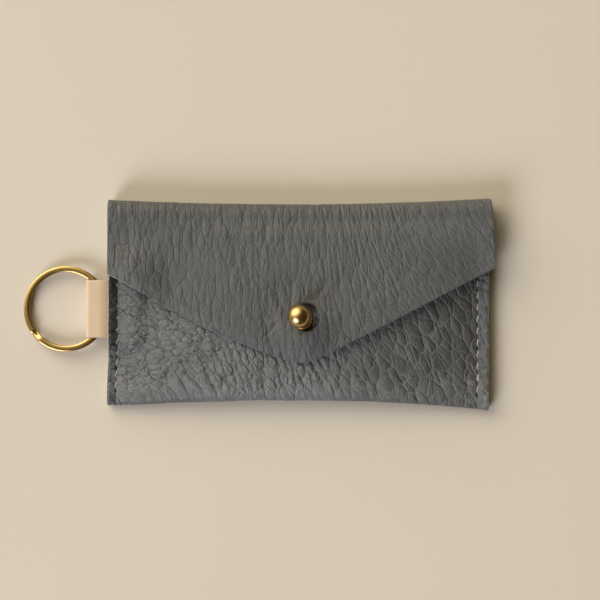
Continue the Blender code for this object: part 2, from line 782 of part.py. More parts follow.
def make_wire_section(cutters):
    """The flat wire's section, with its corners taken off."""
    data = bpy.data.curves.new("ring_wire_section", "CURVE")
    data.dimensions = "2D"
    spline = data.splines.new("POLY")
    half_width, half_height = RING_WIRE_WIDTH / 2, RING_WIRE_THICKNESS / 2
    bevel = half_height / 2
    corners = [
        (half_width, bevel - half_height),
        (half_width - bevel, -half_height),
        (bevel - half_width, -half_height),
        (-half_width, bevel - half_height),
        (-half_width, half_height - bevel),
        (bevel - half_width, half_height),
        (half_width - bevel, half_height),
        (half_width, half_height - bevel),
    ]
    spline.points.add(len(corners) - 1)
    for point, place in zip(spline.points, corners):
        point.co = (*place, 0, 1)
    spline.use_cyclic_u = True
    obj = bpy.data.objects.new("ring_wire_section", data)
    obj.hide_render = True
    obj.display_type = "WIRE"
    cutters.objects.link(obj)
    return obj


def make_split_ring(parts, cutters):
    """Two turns of flat wire in one length. Its origin is its middle, and it lies in its tilted plane."""
    points = ring_points()
    print(f"split ring: least gap between its turns {least_coil_gap(points) * 1000:.3f} mm")
    ring = tube("split_ring", points, 0, brass_finish("ring_brass"), parts)
    ring.data.bevel_mode = "OBJECT"
    ring.data.bevel_object = make_wire_section(cutters)
    ring.data.twist_mode = "Z_UP"
    tilt = Matrix.Rotation(-RING_TILT, 4, "Y")
    ring.matrix_world = Matrix.Translation((RING_X, TAB_Y, RING_Z)) @ tilt
    return ring


def hang(child, parent):
    """Parent without moving."""
    bpy.context.view_layer.update()
    child.parent = parent
    child.matrix_parent_inverse = parent.matrix_world.inverted()


def axis_empty(name, place, parts):
    empty = bpy.data.objects.new(name, None)
    empty.empty_display_size = LEATHER
    empty.location = place
    parts.objects.link(empty)
    return empty


def main():
    clear_scene()
    parts = new_collection("keyring_card_holder")
    cutters = new_collection("cutters")
    back_panel = make_back_panel(parts)
    make_bottom_fold(parts)
    front_panel = make_front_panel(parts)
    make_top_fold(parts)
    flap = make_flap(parts)
    tails = make_tails(parts)
    left_holes = seam_holes_y(LEFT_SEAM_START, LEFT_HOLE_PITCH)
    right_holes = seam_holes_y(RIGHT_SEAM_START, RIGHT_HOLE_PITCH)
    left_layers = [back_panel, front_panel, *tails]
    make_seam(parts, cutters, "left", SEAM_LEFT_X, left_holes, left_layers)
    make_seam(parts, cutters, "right", SEAM_RIGHT_X, right_holes, [back_panel, front_panel])
    make_stud(parts, cutters, front_panel, flap)
    loop = make_loop(parts)
    ring = make_split_ring(parts, cutters)
    bend_x, bend_z = bend_axis()
    hang(flap, axis_empty("flap_hinge", (0, HINGE_Y, HINGE_Z), parts))
    tab_bend = axis_empty("tab_bend", (bend_x, TAB_Y, bend_z), parts)
    hang(loop, tab_bend)
    hang(ring, tab_bend)


main()
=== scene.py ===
"""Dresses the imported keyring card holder: grained hide, pale key tab, brass ring and stud, sewn seams.

Every class keeps its sizes in millimetres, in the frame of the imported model, and meshes are written in
metres. A hide is drawn as a flat pattern: x runs across the pocket, and s runs up one face, over the
fold and down the other face.
"""

from __future__ import annotations

import logging
import math
import sys
from collections.abc import Callable, Sequence
from dataclasses import dataclass, field
from enum import Enum

import bpy
import numpy as np
from mathutils import Matrix
from numpy.typing import NDArray

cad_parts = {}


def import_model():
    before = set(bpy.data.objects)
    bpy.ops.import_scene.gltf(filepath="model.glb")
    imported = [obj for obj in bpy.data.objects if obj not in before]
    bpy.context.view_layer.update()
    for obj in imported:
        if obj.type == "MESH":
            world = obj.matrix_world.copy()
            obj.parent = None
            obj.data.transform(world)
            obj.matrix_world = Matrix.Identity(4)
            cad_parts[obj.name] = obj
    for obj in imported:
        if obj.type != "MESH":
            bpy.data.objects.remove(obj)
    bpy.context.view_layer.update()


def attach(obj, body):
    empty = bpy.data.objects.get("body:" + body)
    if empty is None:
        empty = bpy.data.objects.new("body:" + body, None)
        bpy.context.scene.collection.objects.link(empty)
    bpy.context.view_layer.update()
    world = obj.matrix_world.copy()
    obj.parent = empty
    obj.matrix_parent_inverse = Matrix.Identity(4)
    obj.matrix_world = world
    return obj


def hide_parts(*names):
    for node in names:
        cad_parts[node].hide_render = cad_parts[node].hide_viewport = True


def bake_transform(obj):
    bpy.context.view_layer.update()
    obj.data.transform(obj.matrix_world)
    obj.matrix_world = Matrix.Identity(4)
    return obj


LOG = logging.getLogger("card_holder")
METRE = 0.001
Array = NDArray[np.float64]
Index = NDArray[np.int64]
Colour = tuple[float, float, float]
Place = Callable[[Array, Array], Array]
Relief = Callable[[Array, Array], dict[str, Array]]
Material = bpy.types.Material
Socket = bpy.types.NodeSocket


class Layer(Enum):
    """The material places of a piece of hide."""

    GRAIN = 0
    FLESH = 1
    CUT = 2


def smooth(share: Array | float) -> Array:
    """0 below 0, 1 above 1, and 3t² - 2t³ between them."""
    share = np.clip(share, 0, 1)
    return share * share * (3 - 2 * share)


def rise(value: Array, start: float, over: float) -> Array:
    """0 up to the start, then along the smooth step to 1 over this much more."""
    return smooth((value - start) / over)


def bell(distance: Array | float, reach: float) -> Array:
    """e to the power of minus the square of distance over reach."""
    return np.exp(-((np.asarray(distance) / reach) ** 2))


def scatter(column: Array, row: Array, seed: int) -> Array:
    """Even random numbers from 0 to 1, fixed for each whole-numbered place.

    Args:
        column: Whole numbers across.
        row: Whole numbers up.
        seed: Picks another set of numbers.

    Returns:
        The low bits of a product of the place and large primes, mixed by shifts.
    """
    mixed = column.astype(np.int64) * 374761393 + row.astype(np.int64) * 668265263
    mixed = (mixed + seed * 974634777) & 0xFFFFFFFF
    mixed = ((mixed ^ (mixed >> 13)) * 1274126177) & 0xFFFFFFFF
    mixed = ((mixed ^ (mixed >> 16)) * 1103515245) & 0xFFFFFFFF
    return ((mixed ^ (mixed >> 15)) & 0xFFFFFF) / 0xFFFFFF


def ripple(x: Array, y: Array, seed: int) -> Array:
    """Smooth noise from -1 to 1 with cells of size 1.

    Args:
        x: Places across, in cells.
        y: Places up, in cells.
        seed: Picks another pattern.

    Returns:
        Random corner values, blended across each cell along the smooth step.
    """
    left, low = np.floor(x), np.floor(y)
    across, up = smooth(x - left), smooth(y - low)
    bottom = scatter(left, low, seed) * (1 - across) + scatter(left + 1, low, seed) * across
    top = scatter(left, low + 1, seed) * (1 - across) + scatter(left + 1, low + 1, seed) * across
    return 2 * (bottom + (top - bottom) * up) - 1


def rounded(value: Array, power: float) -> Array:
    """A sine or cosine made a superellipse's: its size to a power, with its sign kept."""
    return np.sign(value) * np.abs(value) ** power


def running_length(points: Array) -> Array:
    """Length along a path up to each of its points."""
    return np.concatenate([[0], np.cumsum(np.linalg.norm(np.diff(points, axis=0), axis=1))])


@dataclass(frozen=True)
class Stroke:
    """A single fold or wrinkle drawn from one place to another, deep where the depth is above 0."""

    start: tuple[float, float]
    end: tuple[float, float]
    width: float
    depth: float
    fade: float = 0.35

    def sink(self, x: Array, y: Array) -> Array:
        """Depth at each place: a bell across the line, fading out past both of its ends.

        Args:
            x: Places across, in millimetres.
            y: Places up, in millimetres.

        Returns:
            Depths in millimetres.
        """
        run = np.hypot(self.end[0] - self.start[0], self.end[1] - self.start[1])
        unit_x = (self.end[0] - self.start[0]) / run
        unit_y = (self.end[1] - self.start[1]) / run
        along = (x - self.start[0]) * unit_x + (y - self.start[1]) * unit_y
        off = (x - self.start[0]) * unit_y - (y - self.start[1]) * unit_x
        fading = self.fade * run
        inside = smooth(along / fading) * smooth((run - along) / fading)
        return self.depth * inside * bell(off, self.width)


@dataclass(frozen=True)
class PocketShape:
    """The folded hide: its sizes, with the heights and edges that follow from them."""

    width: float = 110.4
    height: float = 56.8
    leather: float = 1.4
    top_radius: float = 4.5
    top_flat: float = 0.3
    top_rise: tuple[float, float] = (1.3, 1.7)
    bottom_drop: tuple[float, float] = (1.7, 2.9)
    puff_height: float = 5.4
    puff_power: float = 3.0
    puff_at_fold: float = 0.5
    puff_at_mouth: float = 0.9
    mouth_setback: float = 4.6
    margin_left: float = 2.4
    margin_right: float = 3.3
    seam_gap: float = 0.3
    fold_lead: float = 9.0
    flare: float = 0.8
    tab_y: float = -1.9
    tab_width: float = 16.6
    tab_ease: float = 0.3
    tab_fall: float = 5.5
    tail_fall: float = 7.5
    tail_end_x: float = -49.6
    tail_stack: float = 2.05
    tail_slope: float = 0.935
    stud_x: float = 1.0
    stud_drop: float = 29.0
    stud_lean_deg: float = 15.0
    stud_heading_deg: float = 122.0
    stud_dip: float = 1.0
    stud_dip_reach: float = 8.0
    stud_tip_reach: float = 7.0
    flap_clearance: float = 0.3
    flap_lift: tuple[float, float] = (0.1, 0.8)
    flap_left_drop: float = 15.6
    flap_right_drop: float = 13.6
    flap_tip_x: float = 0.4
    flap_tip_drop: float = 43.1
    flap_tip_round: float = 4.1
    flap_left_belly: float = 1.6
    root_overhang: float = 0.8
    corner_overhang: float = 1.6
    settle_y: float = 5.0
    flange_lift: float = 0.8
    flange_reach: float = 4.0
    flange_fall: float = 8.0
    flap_air: float = 0.02
    tent: float = 14.0
    drape_steps: tuple[float, ...] = (-5.0, -3.3, -1.7, 0.0, 1.7, 3.3, 5.0)
    drape_spread: float = 3.4
    drape_beyond: tuple[float, float] = (2.0, 3.0)

    @property
    def half_width(self) -> float:
        """Half the body's width."""
        return self.width / 2

    @property
    def half_height(self) -> float:
        """Half the body's height at mid width."""
        return self.height / 2

    @property
    def hinge_y(self) -> float:
        """The line that the flap turns about."""
        return self.half_height - self.top_radius - self.top_flat

    @property
    def mouth_y(self) -> float:
        """The front's free edge."""
        return self.hinge_y - self.mouth_setback

    @property
    def seam_left(self) -> float:
        """The left stitch line."""
        return self.margin_left - self.half_width

    @property
    def seam_right(self) -> float:
        """The right stitch line."""
        return self.half_width - self.margin_right

    @property
    def stud_y(self) -> float:
        """The stud's seat below the hinge line."""
        return self.hinge_y - self.stud_drop

    def bow(self, x: Array, ends: tuple[float, float]) -> Array:
        """How far an edge stands out: its end value times the square of x over half the width."""
        return np.where(x < 0, ends[0], ends[1]) * (np.abs(x) / self.half_width) ** 2

    def top_edge(self, x: Array) -> Array:
        """Height of the top edge, rising to both corners."""
        return self.half_height + self.bow(x, self.top_rise)

    def bottom_edge(self, x: Array) -> Array:
        """Height of the bottom edge, dropping to both corners."""
        return -self.half_height - self.bow(x, self.bottom_drop)

    def share_across(self, x: Array) -> Array:
        """0 midway between the stitch lines, 1 at and outside them."""
        middle = (self.seam_left + self.seam_right) / 2
        return np.clip(np.abs(x - middle) / (self.seam_right - middle), 0, 1)

    def puff(self, x: Array, y: Array) -> Array:
        """Height of the air between the panels.

        Args:
            x: Places across.
            y: Places up.

        Returns:
            One less the cube of the share across, less at the fold and mouth with the square of y.
        """
        fullness = 1 - self.share_across(x) ** self.puff_power
        below = 1 - (1 - self.puff_at_fold) * (y / self.half_height) ** 2
        above = 1 - (1 - self.puff_at_mouth) * (y / self.mouth_y) ** 2
        return self.puff_height * fullness * np.where(y < 0, below, above)

    def tab_zone(self, y: Array, fall: float) -> Array:
        """1 beside the key tab, easing to 0 over the fall above and below it."""
        return 1 - smooth((np.abs(y - self.tab_y) - self.tab_width / 2 - self.tab_ease) / fall)

    def tail_cover(self, x: Array, fall: float) -> Array:
        """1 over the tab's sewn tails, easing to 0 over the fall past their ends."""
        return 1 - smooth((x - self.tail_end_x) / fall)

    def margin_flare(self, x: Array, y: Array) -> Array:
        """How far a seam's margin stands up outside its stitch line, most where the tab runs out.

        Args:
            x: Places across.
            y: Places up.

        Returns:
            The share of the margin that is crossed, times its flare at that height.
        """
        left = np.clip((self.seam_left - x) / self.margin_left, 0, 1)
        right = np.clip((x - self.seam_right) / self.margin_right, 0, 1)
        beside_tab = self.tail_slope * self.margin_left
        climb = self.flare + (beside_tab - self.flare) * self.tab_zone(y, self.tab_fall)
        return right * self.flare + left * climb

    def stud_pull(self, x: Array, y: Array) -> Array:
        """The hide's dip under the stud, tipped the way that the stud leans.

        Args:
            x: Places across.
            y: Places up.

        Returns:
            A bell of the distance, and a bell times the way along the heading times the lean's slope.
        """
        heading = math.radians(self.stud_heading_deg)
        away_x, away_y = x - self.stud_x, y - self.stud_y
        along = away_x * math.cos(heading) + away_y * math.sin(heading)
        distance = np.hypot(away_x, away_y)
        slope = math.tan(math.radians(self.stud_lean_deg))
        dip = self.stud_dip * bell(distance, self.stud_dip_reach)
        return dip + slope * along * bell(distance, self.stud_tip_reach)

    def pocket_gap(self, x: Array, y: Array) -> Array:
        """Height between the inner faces of the back and the front.

        Args:
            x: Places across.
            y: Places up.

        Returns:
            The seam's gap, the air, the tab's tails and the margin's flare, less the stud's pull.
        """
        tails = self.tail_stack - self.seam_gap
        cover = self.tab_zone(y, self.tab_fall) * self.tail_cover(x, self.tail_fall)
        lifted = self.seam_gap + self.puff(x, y) + tails * cover
        return lifted + self.margin_flare(x, y) - self.stud_pull(x, y)

    def fold_radius(self, x: Array) -> Array:
        """Outer radius of the bottom fold, which closes onto the height of the front."""
        return self.leather + self.pocket_gap(x, self.bottom_edge(x) + self.leather) / 2

    def fold_centre(self, x: Array) -> Array:
        """Where the bottom fold ends and the front begins."""
        return self.bottom_edge(x) + self.fold_radius(x)

    def front_middle(self, x: Array, y: Array) -> Array:
        """Height of the front's middle surface, led smoothly out of the bottom fold.

        Args:
            x: Places across.
            y: Places up.

        Returns:
            The back, the gap and half the hide, and near the fold a lead to the fold's height.
        """
        low = self.fold_centre(x)
        level = 2 * self.fold_radius(x) - self.leather / 2
        lead = 1 - smooth(self.fold_lead * (y - low) / (self.mouth_y - low))
        base = self.leather * 1.5
        return base + self.pocket_gap(x, y) + (level - base - self.pocket_gap(x, low)) * lead

    def flap_bed(self, x: Array, y: Array) -> Array:
        """The front's height without the valleys of its seams: what the flap drapes over.

        Args:
            x: Places across.
            y: Places up.

        Returns:
            Heights of the bed.
        """
        tails = self.tail_stack - self.seam_gap + self.tail_slope * self.margin_left
        tails = tails * self.tab_zone(y, self.tent) * self.tail_cover(x, self.tent)
        rise = self.flare * self.share_across(x) ** 2
        base = 2 * self.leather + self.seam_gap
        return base + self.puff(x, y) + rise + tails - self.stud_pull(x, y)

    def drape(self, x: Array, y: Array) -> Array:
        """The flap's bed, evened out across: a weighted mean of heights up to 5 mm to each side.

        Args:
            x: Places across.
            y: Places up.

        Returns:
            Heights that the flap lies at.
        """
        total = np.zeros_like(x)
        weights = 0.0
        left, right = self.drape_beyond
        for shift in self.drape_steps:
            weight = math.exp(-((shift / self.drape_spread) ** 2))
            moved = np.clip(x + shift, -self.half_width - left, self.half_width + right)
            total = total + weight * (self.flap_bed(moved, y) + self.stud_pull(moved, y))
            weights += weight
        return total / weights - self.stud_pull(x, y)

    def flap_middle(self, x: Array, y: Array) -> Array:
        """Height of the flap's middle surface, led up or down into the top fold.

        Args:
            x: Places across.
            y: Places up.

        Returns:
            The bed, a lift that grows with the square of the way across, and half the hide.
        """
        side = (x / self.half_width + 1) / 2
        lift = self.flap_lift[0] + (self.flap_lift[1] - self.flap_lift[0]) * side**2
        lift = lift + self.flap_clearance
        root = np.full_like(y, self.hinge_y)
        to_fold = 2 * self.top_radius - self.leather - self.drape(x, root) - lift
        flange = np.hypot(x - self.stud_x, y - self.stud_y)
        lift = lift + self.flange_lift * (1 - smooth((flange - self.flange_reach) / self.flange_fall))
        steep = smooth((y - self.mouth_y) / (self.hinge_y - self.mouth_y))
        gentle = smooth((y - self.settle_y) / (self.hinge_y - self.settle_y))
        led = to_fold * np.where(to_fold < 0, steep, gentle)
        return self.drape(x, y) + lift + led + self.leather / 2 + self.flap_air

    def flap_edge(self, x: Array) -> Array:
        """The flap's lower edge: two straight cuts that meet in a rounded tip.

        Args:
            x: Places across.

        Returns:
            Half the sum and half the difference of the two slopes, the latter along a hyperbola,
            less a belly of the squared sine on the left cut.
        """
        tip_y = self.hinge_y - self.flap_tip_drop
        right_reach = self.half_width + self.corner_overhang - self.flap_tip_x
        left_reach = self.flap_tip_x + self.half_width
        left_slope = (self.flap_left_drop - self.flap_tip_drop) / left_reach
        right_slope = (self.flap_tip_drop - self.flap_right_drop) / right_reach
        off = x - self.flap_tip_x
        cut = (right_slope + left_slope) / 2 * off
        cut = cut + (right_slope - left_slope) / 2 * np.hypot(off, self.flap_tip_round)
        along = np.clip(-off / left_reach, 0, 1)
        return tip_y + cut - self.flap_left_belly * np.sin(math.pi * along) ** 2


@dataclass(frozen=True)
class PocketWrap:
    """Front, bottom fold and back as one pattern: s is y on the front and runs on round the fold."""

    shape: PocketShape
    fold_ease: float = 0.15
    corner_kick: float = 0.6
    kick_from: tuple[float, float] = (-44.0, -10.0)
    kick_over: tuple[float, float] = (11.0, 18.0)

    def bounds(self, x: Array) -> list[Array]:
        """The pattern's bands.

        Args:
            x: Places across the pattern.

        Returns:
            The back's end, the fold's two ends and the mouth.
        """
        centre = self.shape.fold_centre(x)
        arc = math.pi * (self.shape.fold_radius(x) - self.shape.leather / 2)
        back = centre - arc - (self.shape.hinge_y - centre)
        return [back, centre - arc, centre, np.full_like(x, self.shape.mouth_y)]

    def place(self, x: Array, s: Array) -> Array:
        """The hide's middle surface: the front's height, a half turn round the fold, and a flat back.

        The lower left corner is kicked outwards by a product of two smooth steps.

        Args:
            x: Places across the pattern.
            s: Places up the pattern.

        Returns:
            Points in space.
        """
        radius = self.shape.fold_radius(x)
        middle = radius - self.shape.leather / 2
        centre = self.shape.fold_centre(x)
        past = centre - s
        angle = np.clip(past / middle, 0, math.pi)
        round_y = centre - (middle + self.fold_ease) * np.sin(angle)
        round_y = round_y + np.maximum(past - math.pi * middle, 0)
        round_z = radius + middle * np.cos(angle)
        front_z = self.shape.front_middle(x, np.maximum(s, centre))
        y = np.where(past <= 0, s, round_y)
        z = np.where(past <= 0, front_z, round_z)
        out_x, out_y = self.kick_from[0] - x, self.kick_from[1] - y
        kick = smooth(out_x / self.kick_over[0]) * smooth(out_y / self.kick_over[1])
        return np.stack([x - self.corner_kick * kick, y, z], axis=-1)

    def back_s(self, x: Array, y: Array) -> Array:
        """The place on the pattern of a point at height y on the back."""
        return self.bounds(x)[1] - (y - self.shape.fold_centre(x))


@dataclass(frozen=True)
class FlapWrap:
    """Flap and top fold as one pattern: s is y on the flap and runs on over the fold."""

    shape: PocketShape
    squareness: float = 2.7

    def flat(self, x: Array) -> Array:
        """The straight run between the hinge line and the fold's half turn."""
        return self.shape.top_edge(x) - self.shape.top_radius - self.shape.hinge_y

    def bounds(self, x: Array) -> list[Array]:
        """The pattern's bands.

        Args:
            x: Places across the pattern.

        Returns:
            The cut edge, the hinge line, the fold's two ends and the end at the back.
        """
        arc = math.pi * (self.shape.top_radius - self.shape.leather / 2)
        hinge = np.full_like(x, self.shape.hinge_y)
        start = hinge + self.flat(x)
        return [self.shape.flap_edge(x), hinge, start, start + arc, start + arc + self.flat(x)]

    def place(self, x: Array, s: Array) -> Array:
        """The hide's middle surface: the flap's height, and half a superellipse over the fold.

        Args:
            x: Places across the pattern.
            s: Places up the pattern.

        Returns:
            Points in space.
        """
        middle = self.shape.top_radius - self.shape.leather / 2
        past = s - self.shape.hinge_y
        flat = self.flat(x)
        angle = np.clip((past - flat) / middle, 0, math.pi)
        power = 2 / self.squareness
        round_y = self.shape.hinge_y + np.minimum(past, flat) + middle * np.sin(angle) ** power
        round_y = round_y - np.maximum(past - flat - math.pi * middle, 0)
        round_z = self.shape.top_radius + middle * rounded(np.cos(angle), power)
        flap_z = self.shape.flap_middle(x, np.minimum(s, self.shape.hinge_y))
        y = np.where(past <= 0, s, round_y)
        z = np.where(past <= 0, flap_z, round_z)
        return np.stack([x, y, z], axis=-1)


def facing(place: Place, x: Array, s: Array, step: float = 0.03) -> Array:
    """Unit normals of a surface: the slope along x crossed with the slope along s.

    Args:
        place: The surface, a function of x and s.
        x: Places across the pattern.
        s: Places up the pattern.
        step: How far to each side a slope is measured.

    Returns:
        One unit vector for each place.
    """
    along_x = place(x + step, s) - place(x - step, s)
    along_s = place(x, s + step) - place(x, s - step)
    normal = np.cross(along_x, along_s)
    return normal / np.linalg.norm(normal, axis=-1, keepdims=True)


@dataclass(frozen=True)
class Hole:
    """A round hole in a pattern, and the block of cells that is laid out afresh round it."""

    x: float
    y: float
    radius: float
    window: tuple[int, int, int, int]
    rings: int
    draw: float = 1.3


@dataclass
class Pattern:
    """A flat pattern: its places, its four-sided cells, and its cut edges in the cells' direction."""

    places: Array
    cells: Index
    edges: list[Index] = field(default_factory=list)

    @classmethod
    def lay(cls, sites: Array, hole: Hole | None, coarse: int = 1) -> Pattern:
        """Cut a sheet of sites into cells, with rings of cells that close in on the hole.

        A ring's places lie between the window's frame and the hole at the same angle: the hole's
        point plus the way out to the frame times a power of the ring's share.

        Args:
            sites: Rows and columns of places.
            hole: The hole, if there is one.
            coarse: Take one site in this many.

        Returns:
            The pattern.
        """
        sites = sites[::coarse, ::coarse]
        rows, columns = sites.shape[:2]
        index = np.arange(rows * columns).reshape(rows, columns)
        cells = np.stack([index[:-1, :-1], index[:-1, 1:], index[1:, 1:], index[1:, :-1]], axis=-1)
        rim = [index[0, :-1], index[:-1, -1], index[-1, :0:-1], index[:0:-1, 0]]
        if hole is None:
            return cls(sites.reshape(-1, 2), cells.reshape(-1, 4), [np.concatenate(rim)])
        low, high, left, right = (edge // coarse for edge in hole.window)
        keep = np.ones(cells.shape[:2], bool)
        keep[low:high, left:right] = False
        under, beside = index[low, left:right], index[low:high, right]
        over, back = index[high, right:left:-1], index[high:low:-1, left]
        frame = np.concatenate([under, beside, over, back])
        outer = sites.reshape(-1, 2)[frame]
        centre = np.array([hole.x, hole.y])
        ray = outer - centre
        inner = centre + hole.radius * ray / np.linalg.norm(ray, axis=1, keepdims=True)
        rings = hole.rings // coarse
        share = (1 - np.arange(1, rings + 1) / rings)[:, None, None] ** hole.draw
        closing = inner + (outer - inner) * share
        count = len(frame)
        ring = index.size + np.arange(rings * count).reshape(rings, count)
        ring = np.concatenate([frame[None], ring])
        turned = np.roll(ring, -1, axis=1)
        fill = np.stack([ring[:-1], turned[:-1], turned[1:], ring[1:]], axis=-1)
        cells = np.concatenate([cells[keep], fill.reshape(-1, 4)])
        places = np.concatenate([sites.reshape(-1, 2), closing.reshape(-1, 2)])
        used, packed = np.unique(cells, return_inverse=True)
        packed = packed.reshape(cells.shape)
        order = np.full(len(places), -1)
        order[used] = np.arange(len(used))
        round_hole = np.roll(ring[-1][::-1], 1)
        return cls(places[used], packed, [order[np.concatenate(rim)], order[round_hole]])


@dataclass(frozen=True)
class Hide:
    """A sheet of leather on a pattern: a grained outside, a plain inside and a cut edge."""

    name: str
    place: Place
    thickness: float
    bulge: float = 0.06
    coarse: int = 3
    cut_rings: tuple[float, ...] = (0.18, 0.5, 0.82)
    sharp_deg: float = 58.0

    def build(self, sites: Array, hole: Hole | None, relief: Relief) -> bpy.types.Object:
        """Make the closed shell. The inside has one point for every few of the outside.

        The outside lies half the thickness and its relief along the normal, and the inside half the
        thickness against it. The cut edge bulges by half a sine wave between them.

        Args:
            sites: Rows and columns of places on the pattern.
            hole: The hole, if there is one.
            relief: Gives "height" and the named shares that the finish reads, for places x and s.

        Returns:
            The object, with one material place for each Layer.
        """
        fine = Pattern.lay(sites, hole)
        plain = Pattern.lay(sites, hole, self.coarse)
        x, s = fine.places.T
        normal = facing(self.place, x, s)
        middle = self.place(x, s)
        marks = relief(x, s)
        height = marks.pop("height")
        outside = middle + normal * (self.thickness / 2 + height)[:, None]
        lining = middle - normal * self.thickness / 2
        plain_x, plain_s = plain.places.T
        plain_normal = facing(self.place, plain_x, plain_s)
        inside = self.place(plain_x, plain_s) - plain_normal * self.thickness / 2
        points = [outside, inside]
        faces: list[list[list[int]]] = [fine.cells.tolist()]
        layers = [np.full(len(fine.cells), Layer.GRAIN.value)]
        faces.append((plain.cells[:, ::-1] + len(outside)).tolist())
        layers.append(np.full(len(plain.cells), Layer.FLESH.value))
        total = len(outside) + len(inside)
        for rim, plain_rim in zip(fine.edges, plain.edges):
            top, bottom = outside[rim], lining[rim]
            along = np.roll(top, -1, axis=0) - np.roll(top, 1, axis=0)
            out = np.cross(along, top - bottom)
            out = out / np.linalg.norm(out, axis=1, keepdims=True)
            upper = rim
            for share in self.cut_rings:
                swell = self.bulge * math.sin(math.pi * share)
                points.append(top + (bottom - top) * share + out * swell)
                ring = total + np.arange(len(rim))
                quads = np.stack([np.roll(upper, -1), upper, ring, np.roll(ring, -1)], axis=1)
                faces.append(quads.tolist())
                layers.append(np.full(len(quads), Layer.CUT.value))
                upper = ring
                total += len(rim)
            faces.append(self.close_strip(upper, plain_rim + len(outside)).tolist())
            layers.append(np.full(4 * len(plain_rim), Layer.CUT.value))
        obj = mesh_object(self.name, np.concatenate(points), [face for part in faces for face in part])
        obj.data.polygons.foreach_set("material_index", np.concatenate(layers).astype(np.int32))
        for mark, values in marks.items():
            whole = np.zeros((total, *values.shape[1:]))
            whole[: len(outside)] = values
            paint(obj, mark, whole)
        obj.data.set_sharp_from_angle(angle=math.radians(self.sharp_deg))
        return obj

    def close_strip(self, ring: Index, plain: Index) -> Index:
        """Join a ring of points to one that has a third as many, with four triangles to each.

        Args:
            ring: The finer ring's points.
            plain: The coarser ring's points.

        Returns:
            The triangles.
        """
        first = ring.reshape(-1, self.coarse)
        fourth = np.roll(first[:, 0], -1)
        following = np.roll(plain, -1)
        fans = [
            [first[:, 1], first[:, 0], plain],
            [first[:, 1], plain, following],
            [first[:, 2], first[:, 1], following],
            [fourth, first[:, 2], following],
        ]
        return np.concatenate([np.stack(fan, axis=1) for fan in fans])


def mesh_object(name: str, points: Array, faces: Sequence[Sequence[int]]) -> bpy.types.Object:
    """An object at the origin, with its place in its mesh.

    Args:
        name: Its name.
        points: Points in millimetres.
        faces: Point numbers of each face.

    Returns:
        The object, smooth shaded.
    """
    mesh = bpy.data.meshes.new(name)
    mesh.from_pydata((points * METRE).tolist(), [], faces)
    mesh.polygons.foreach_set("use_smooth", np.ones(len(mesh.polygons), bool))
    mesh.update()
    obj = bpy.data.objects.new(name, mesh)
    bpy.context.scene.collection.objects.link(obj)
    return obj


def paint(obj: bpy.types.Object, name: str, values: Array) -> None:
    """Store a number or a place for each point of the mesh, for its finish to read.

    Args:
        obj: The piece.
        name: What the finish calls it.
        values: Numbers or places, one for each point.
    """
    kind, part = ("FLOAT", "value") if values.ndim == 1 else ("FLOAT_VECTOR", "vector")
    layer = obj.data.attributes.new(name, kind, "POINT")
    layer.data.foreach_set(part, values.astype(np.float32).ravel())


def tube_faces(rows: int, sides: int) -> list[list[int]]:
    """Faces of a tube of rings, each end closed by a fan onto its own point.

    Args:
        rows: How many rings.
        sides: Points in each ring.

    Returns:
        Faces. The two end points come after the rings.
    """
    index = np.arange(rows * sides).reshape(rows, sides)
    turned = np.roll(index, -1, axis=1)
    walls = np.stack([index[:-1], turned[:-1], turned[1:], index[1:]], axis=-1).reshape(-1, 4)
    start, end = rows * sides, rows * sides + 1
    first = np.stack([turned[0], index[0], np.full(sides, start)], axis=1)
    last = np.stack([index[-1], turned[-1], np.full(sides, end)], axis=1)
    return walls.tolist() + first.tolist() + last.tolist()


def swept(name: str, path: Array, across: Array, up: Array) -> bpy.types.Object:
    """A closed tube: at each point of a path, a ring drawn from two arrays of offsets.

    Args:
        name: Its name.
        path: Points in millimetres.
        across: Offset vectors of every ring point, from the path point.
        up: Offset vectors that are added to them.

    Returns:
        The object.
    """
    rings = path[:, None, :] + across + up
    points = np.concatenate([rings.reshape(-1, 3), path[[0, -1]]])
    return mesh_object(name, points, tube_faces(len(path), rings.shape[1]))


def turned_piece(name: str, profile: Array, sides: int, frame: Matrix) -> bpy.types.Object:
    """A piece turned on a lathe: its profile of radius and height, swept once round.

    Args:
        name: Its name.
        profile: Radius and height from the top down, starting and ending on the axis.
        sides: Points round it.
        frame: The piece's own frame, in millimetres.

    Returns:
        The object.
    """
    angle = np.linspace(0, 2 * math.pi, sides, endpoint=False)
    radius, height = profile[1:-1, :1], profile[1:-1, 1:]
    level = np.broadcast_to(height, (len(radius), sides))
    rings = np.stack([radius * np.cos(angle), radius * np.sin(angle), level], axis=-1)
    ends = np.array([[0, 0, profile[0, 1]], [0, 0, profile[-1, 1]]])
    points = np.concatenate([rings.reshape(-1, 3), ends])
    turn = np.array(frame)[:3, :3]
    place = np.array(frame)[:3, 3]
    faces = [face[::-1] for face in tube_faces(len(radius), sides)]
    return mesh_object(name, points @ turn.T + place, faces)


def resample(points: Array, spacing: float, rounds: int) -> Array:
    """A smooth even path: corners cut at a quarter and three quarters of each run, then even steps.

    Args:
        points: Corner points.
        spacing: Length of each step.
        rounds: How many times the corners are cut.

    Returns:
        Points along the path.
    """
    for _ in range(rounds):
        early = 0.75 * points[:-1] + 0.25 * points[1:]
        late = 0.25 * points[:-1] + 0.75 * points[1:]
        between = np.stack([early, late], axis=1).reshape(-1, points.shape[1])
        points = np.concatenate([points[:1], between, points[-1:]])
    run = running_length(points)
    steps = np.linspace(0, run[-1], max(int(run[-1] / spacing), 2) + 1)
    return np.stack([np.interp(steps, run, axis) for axis in points.T], axis=1)


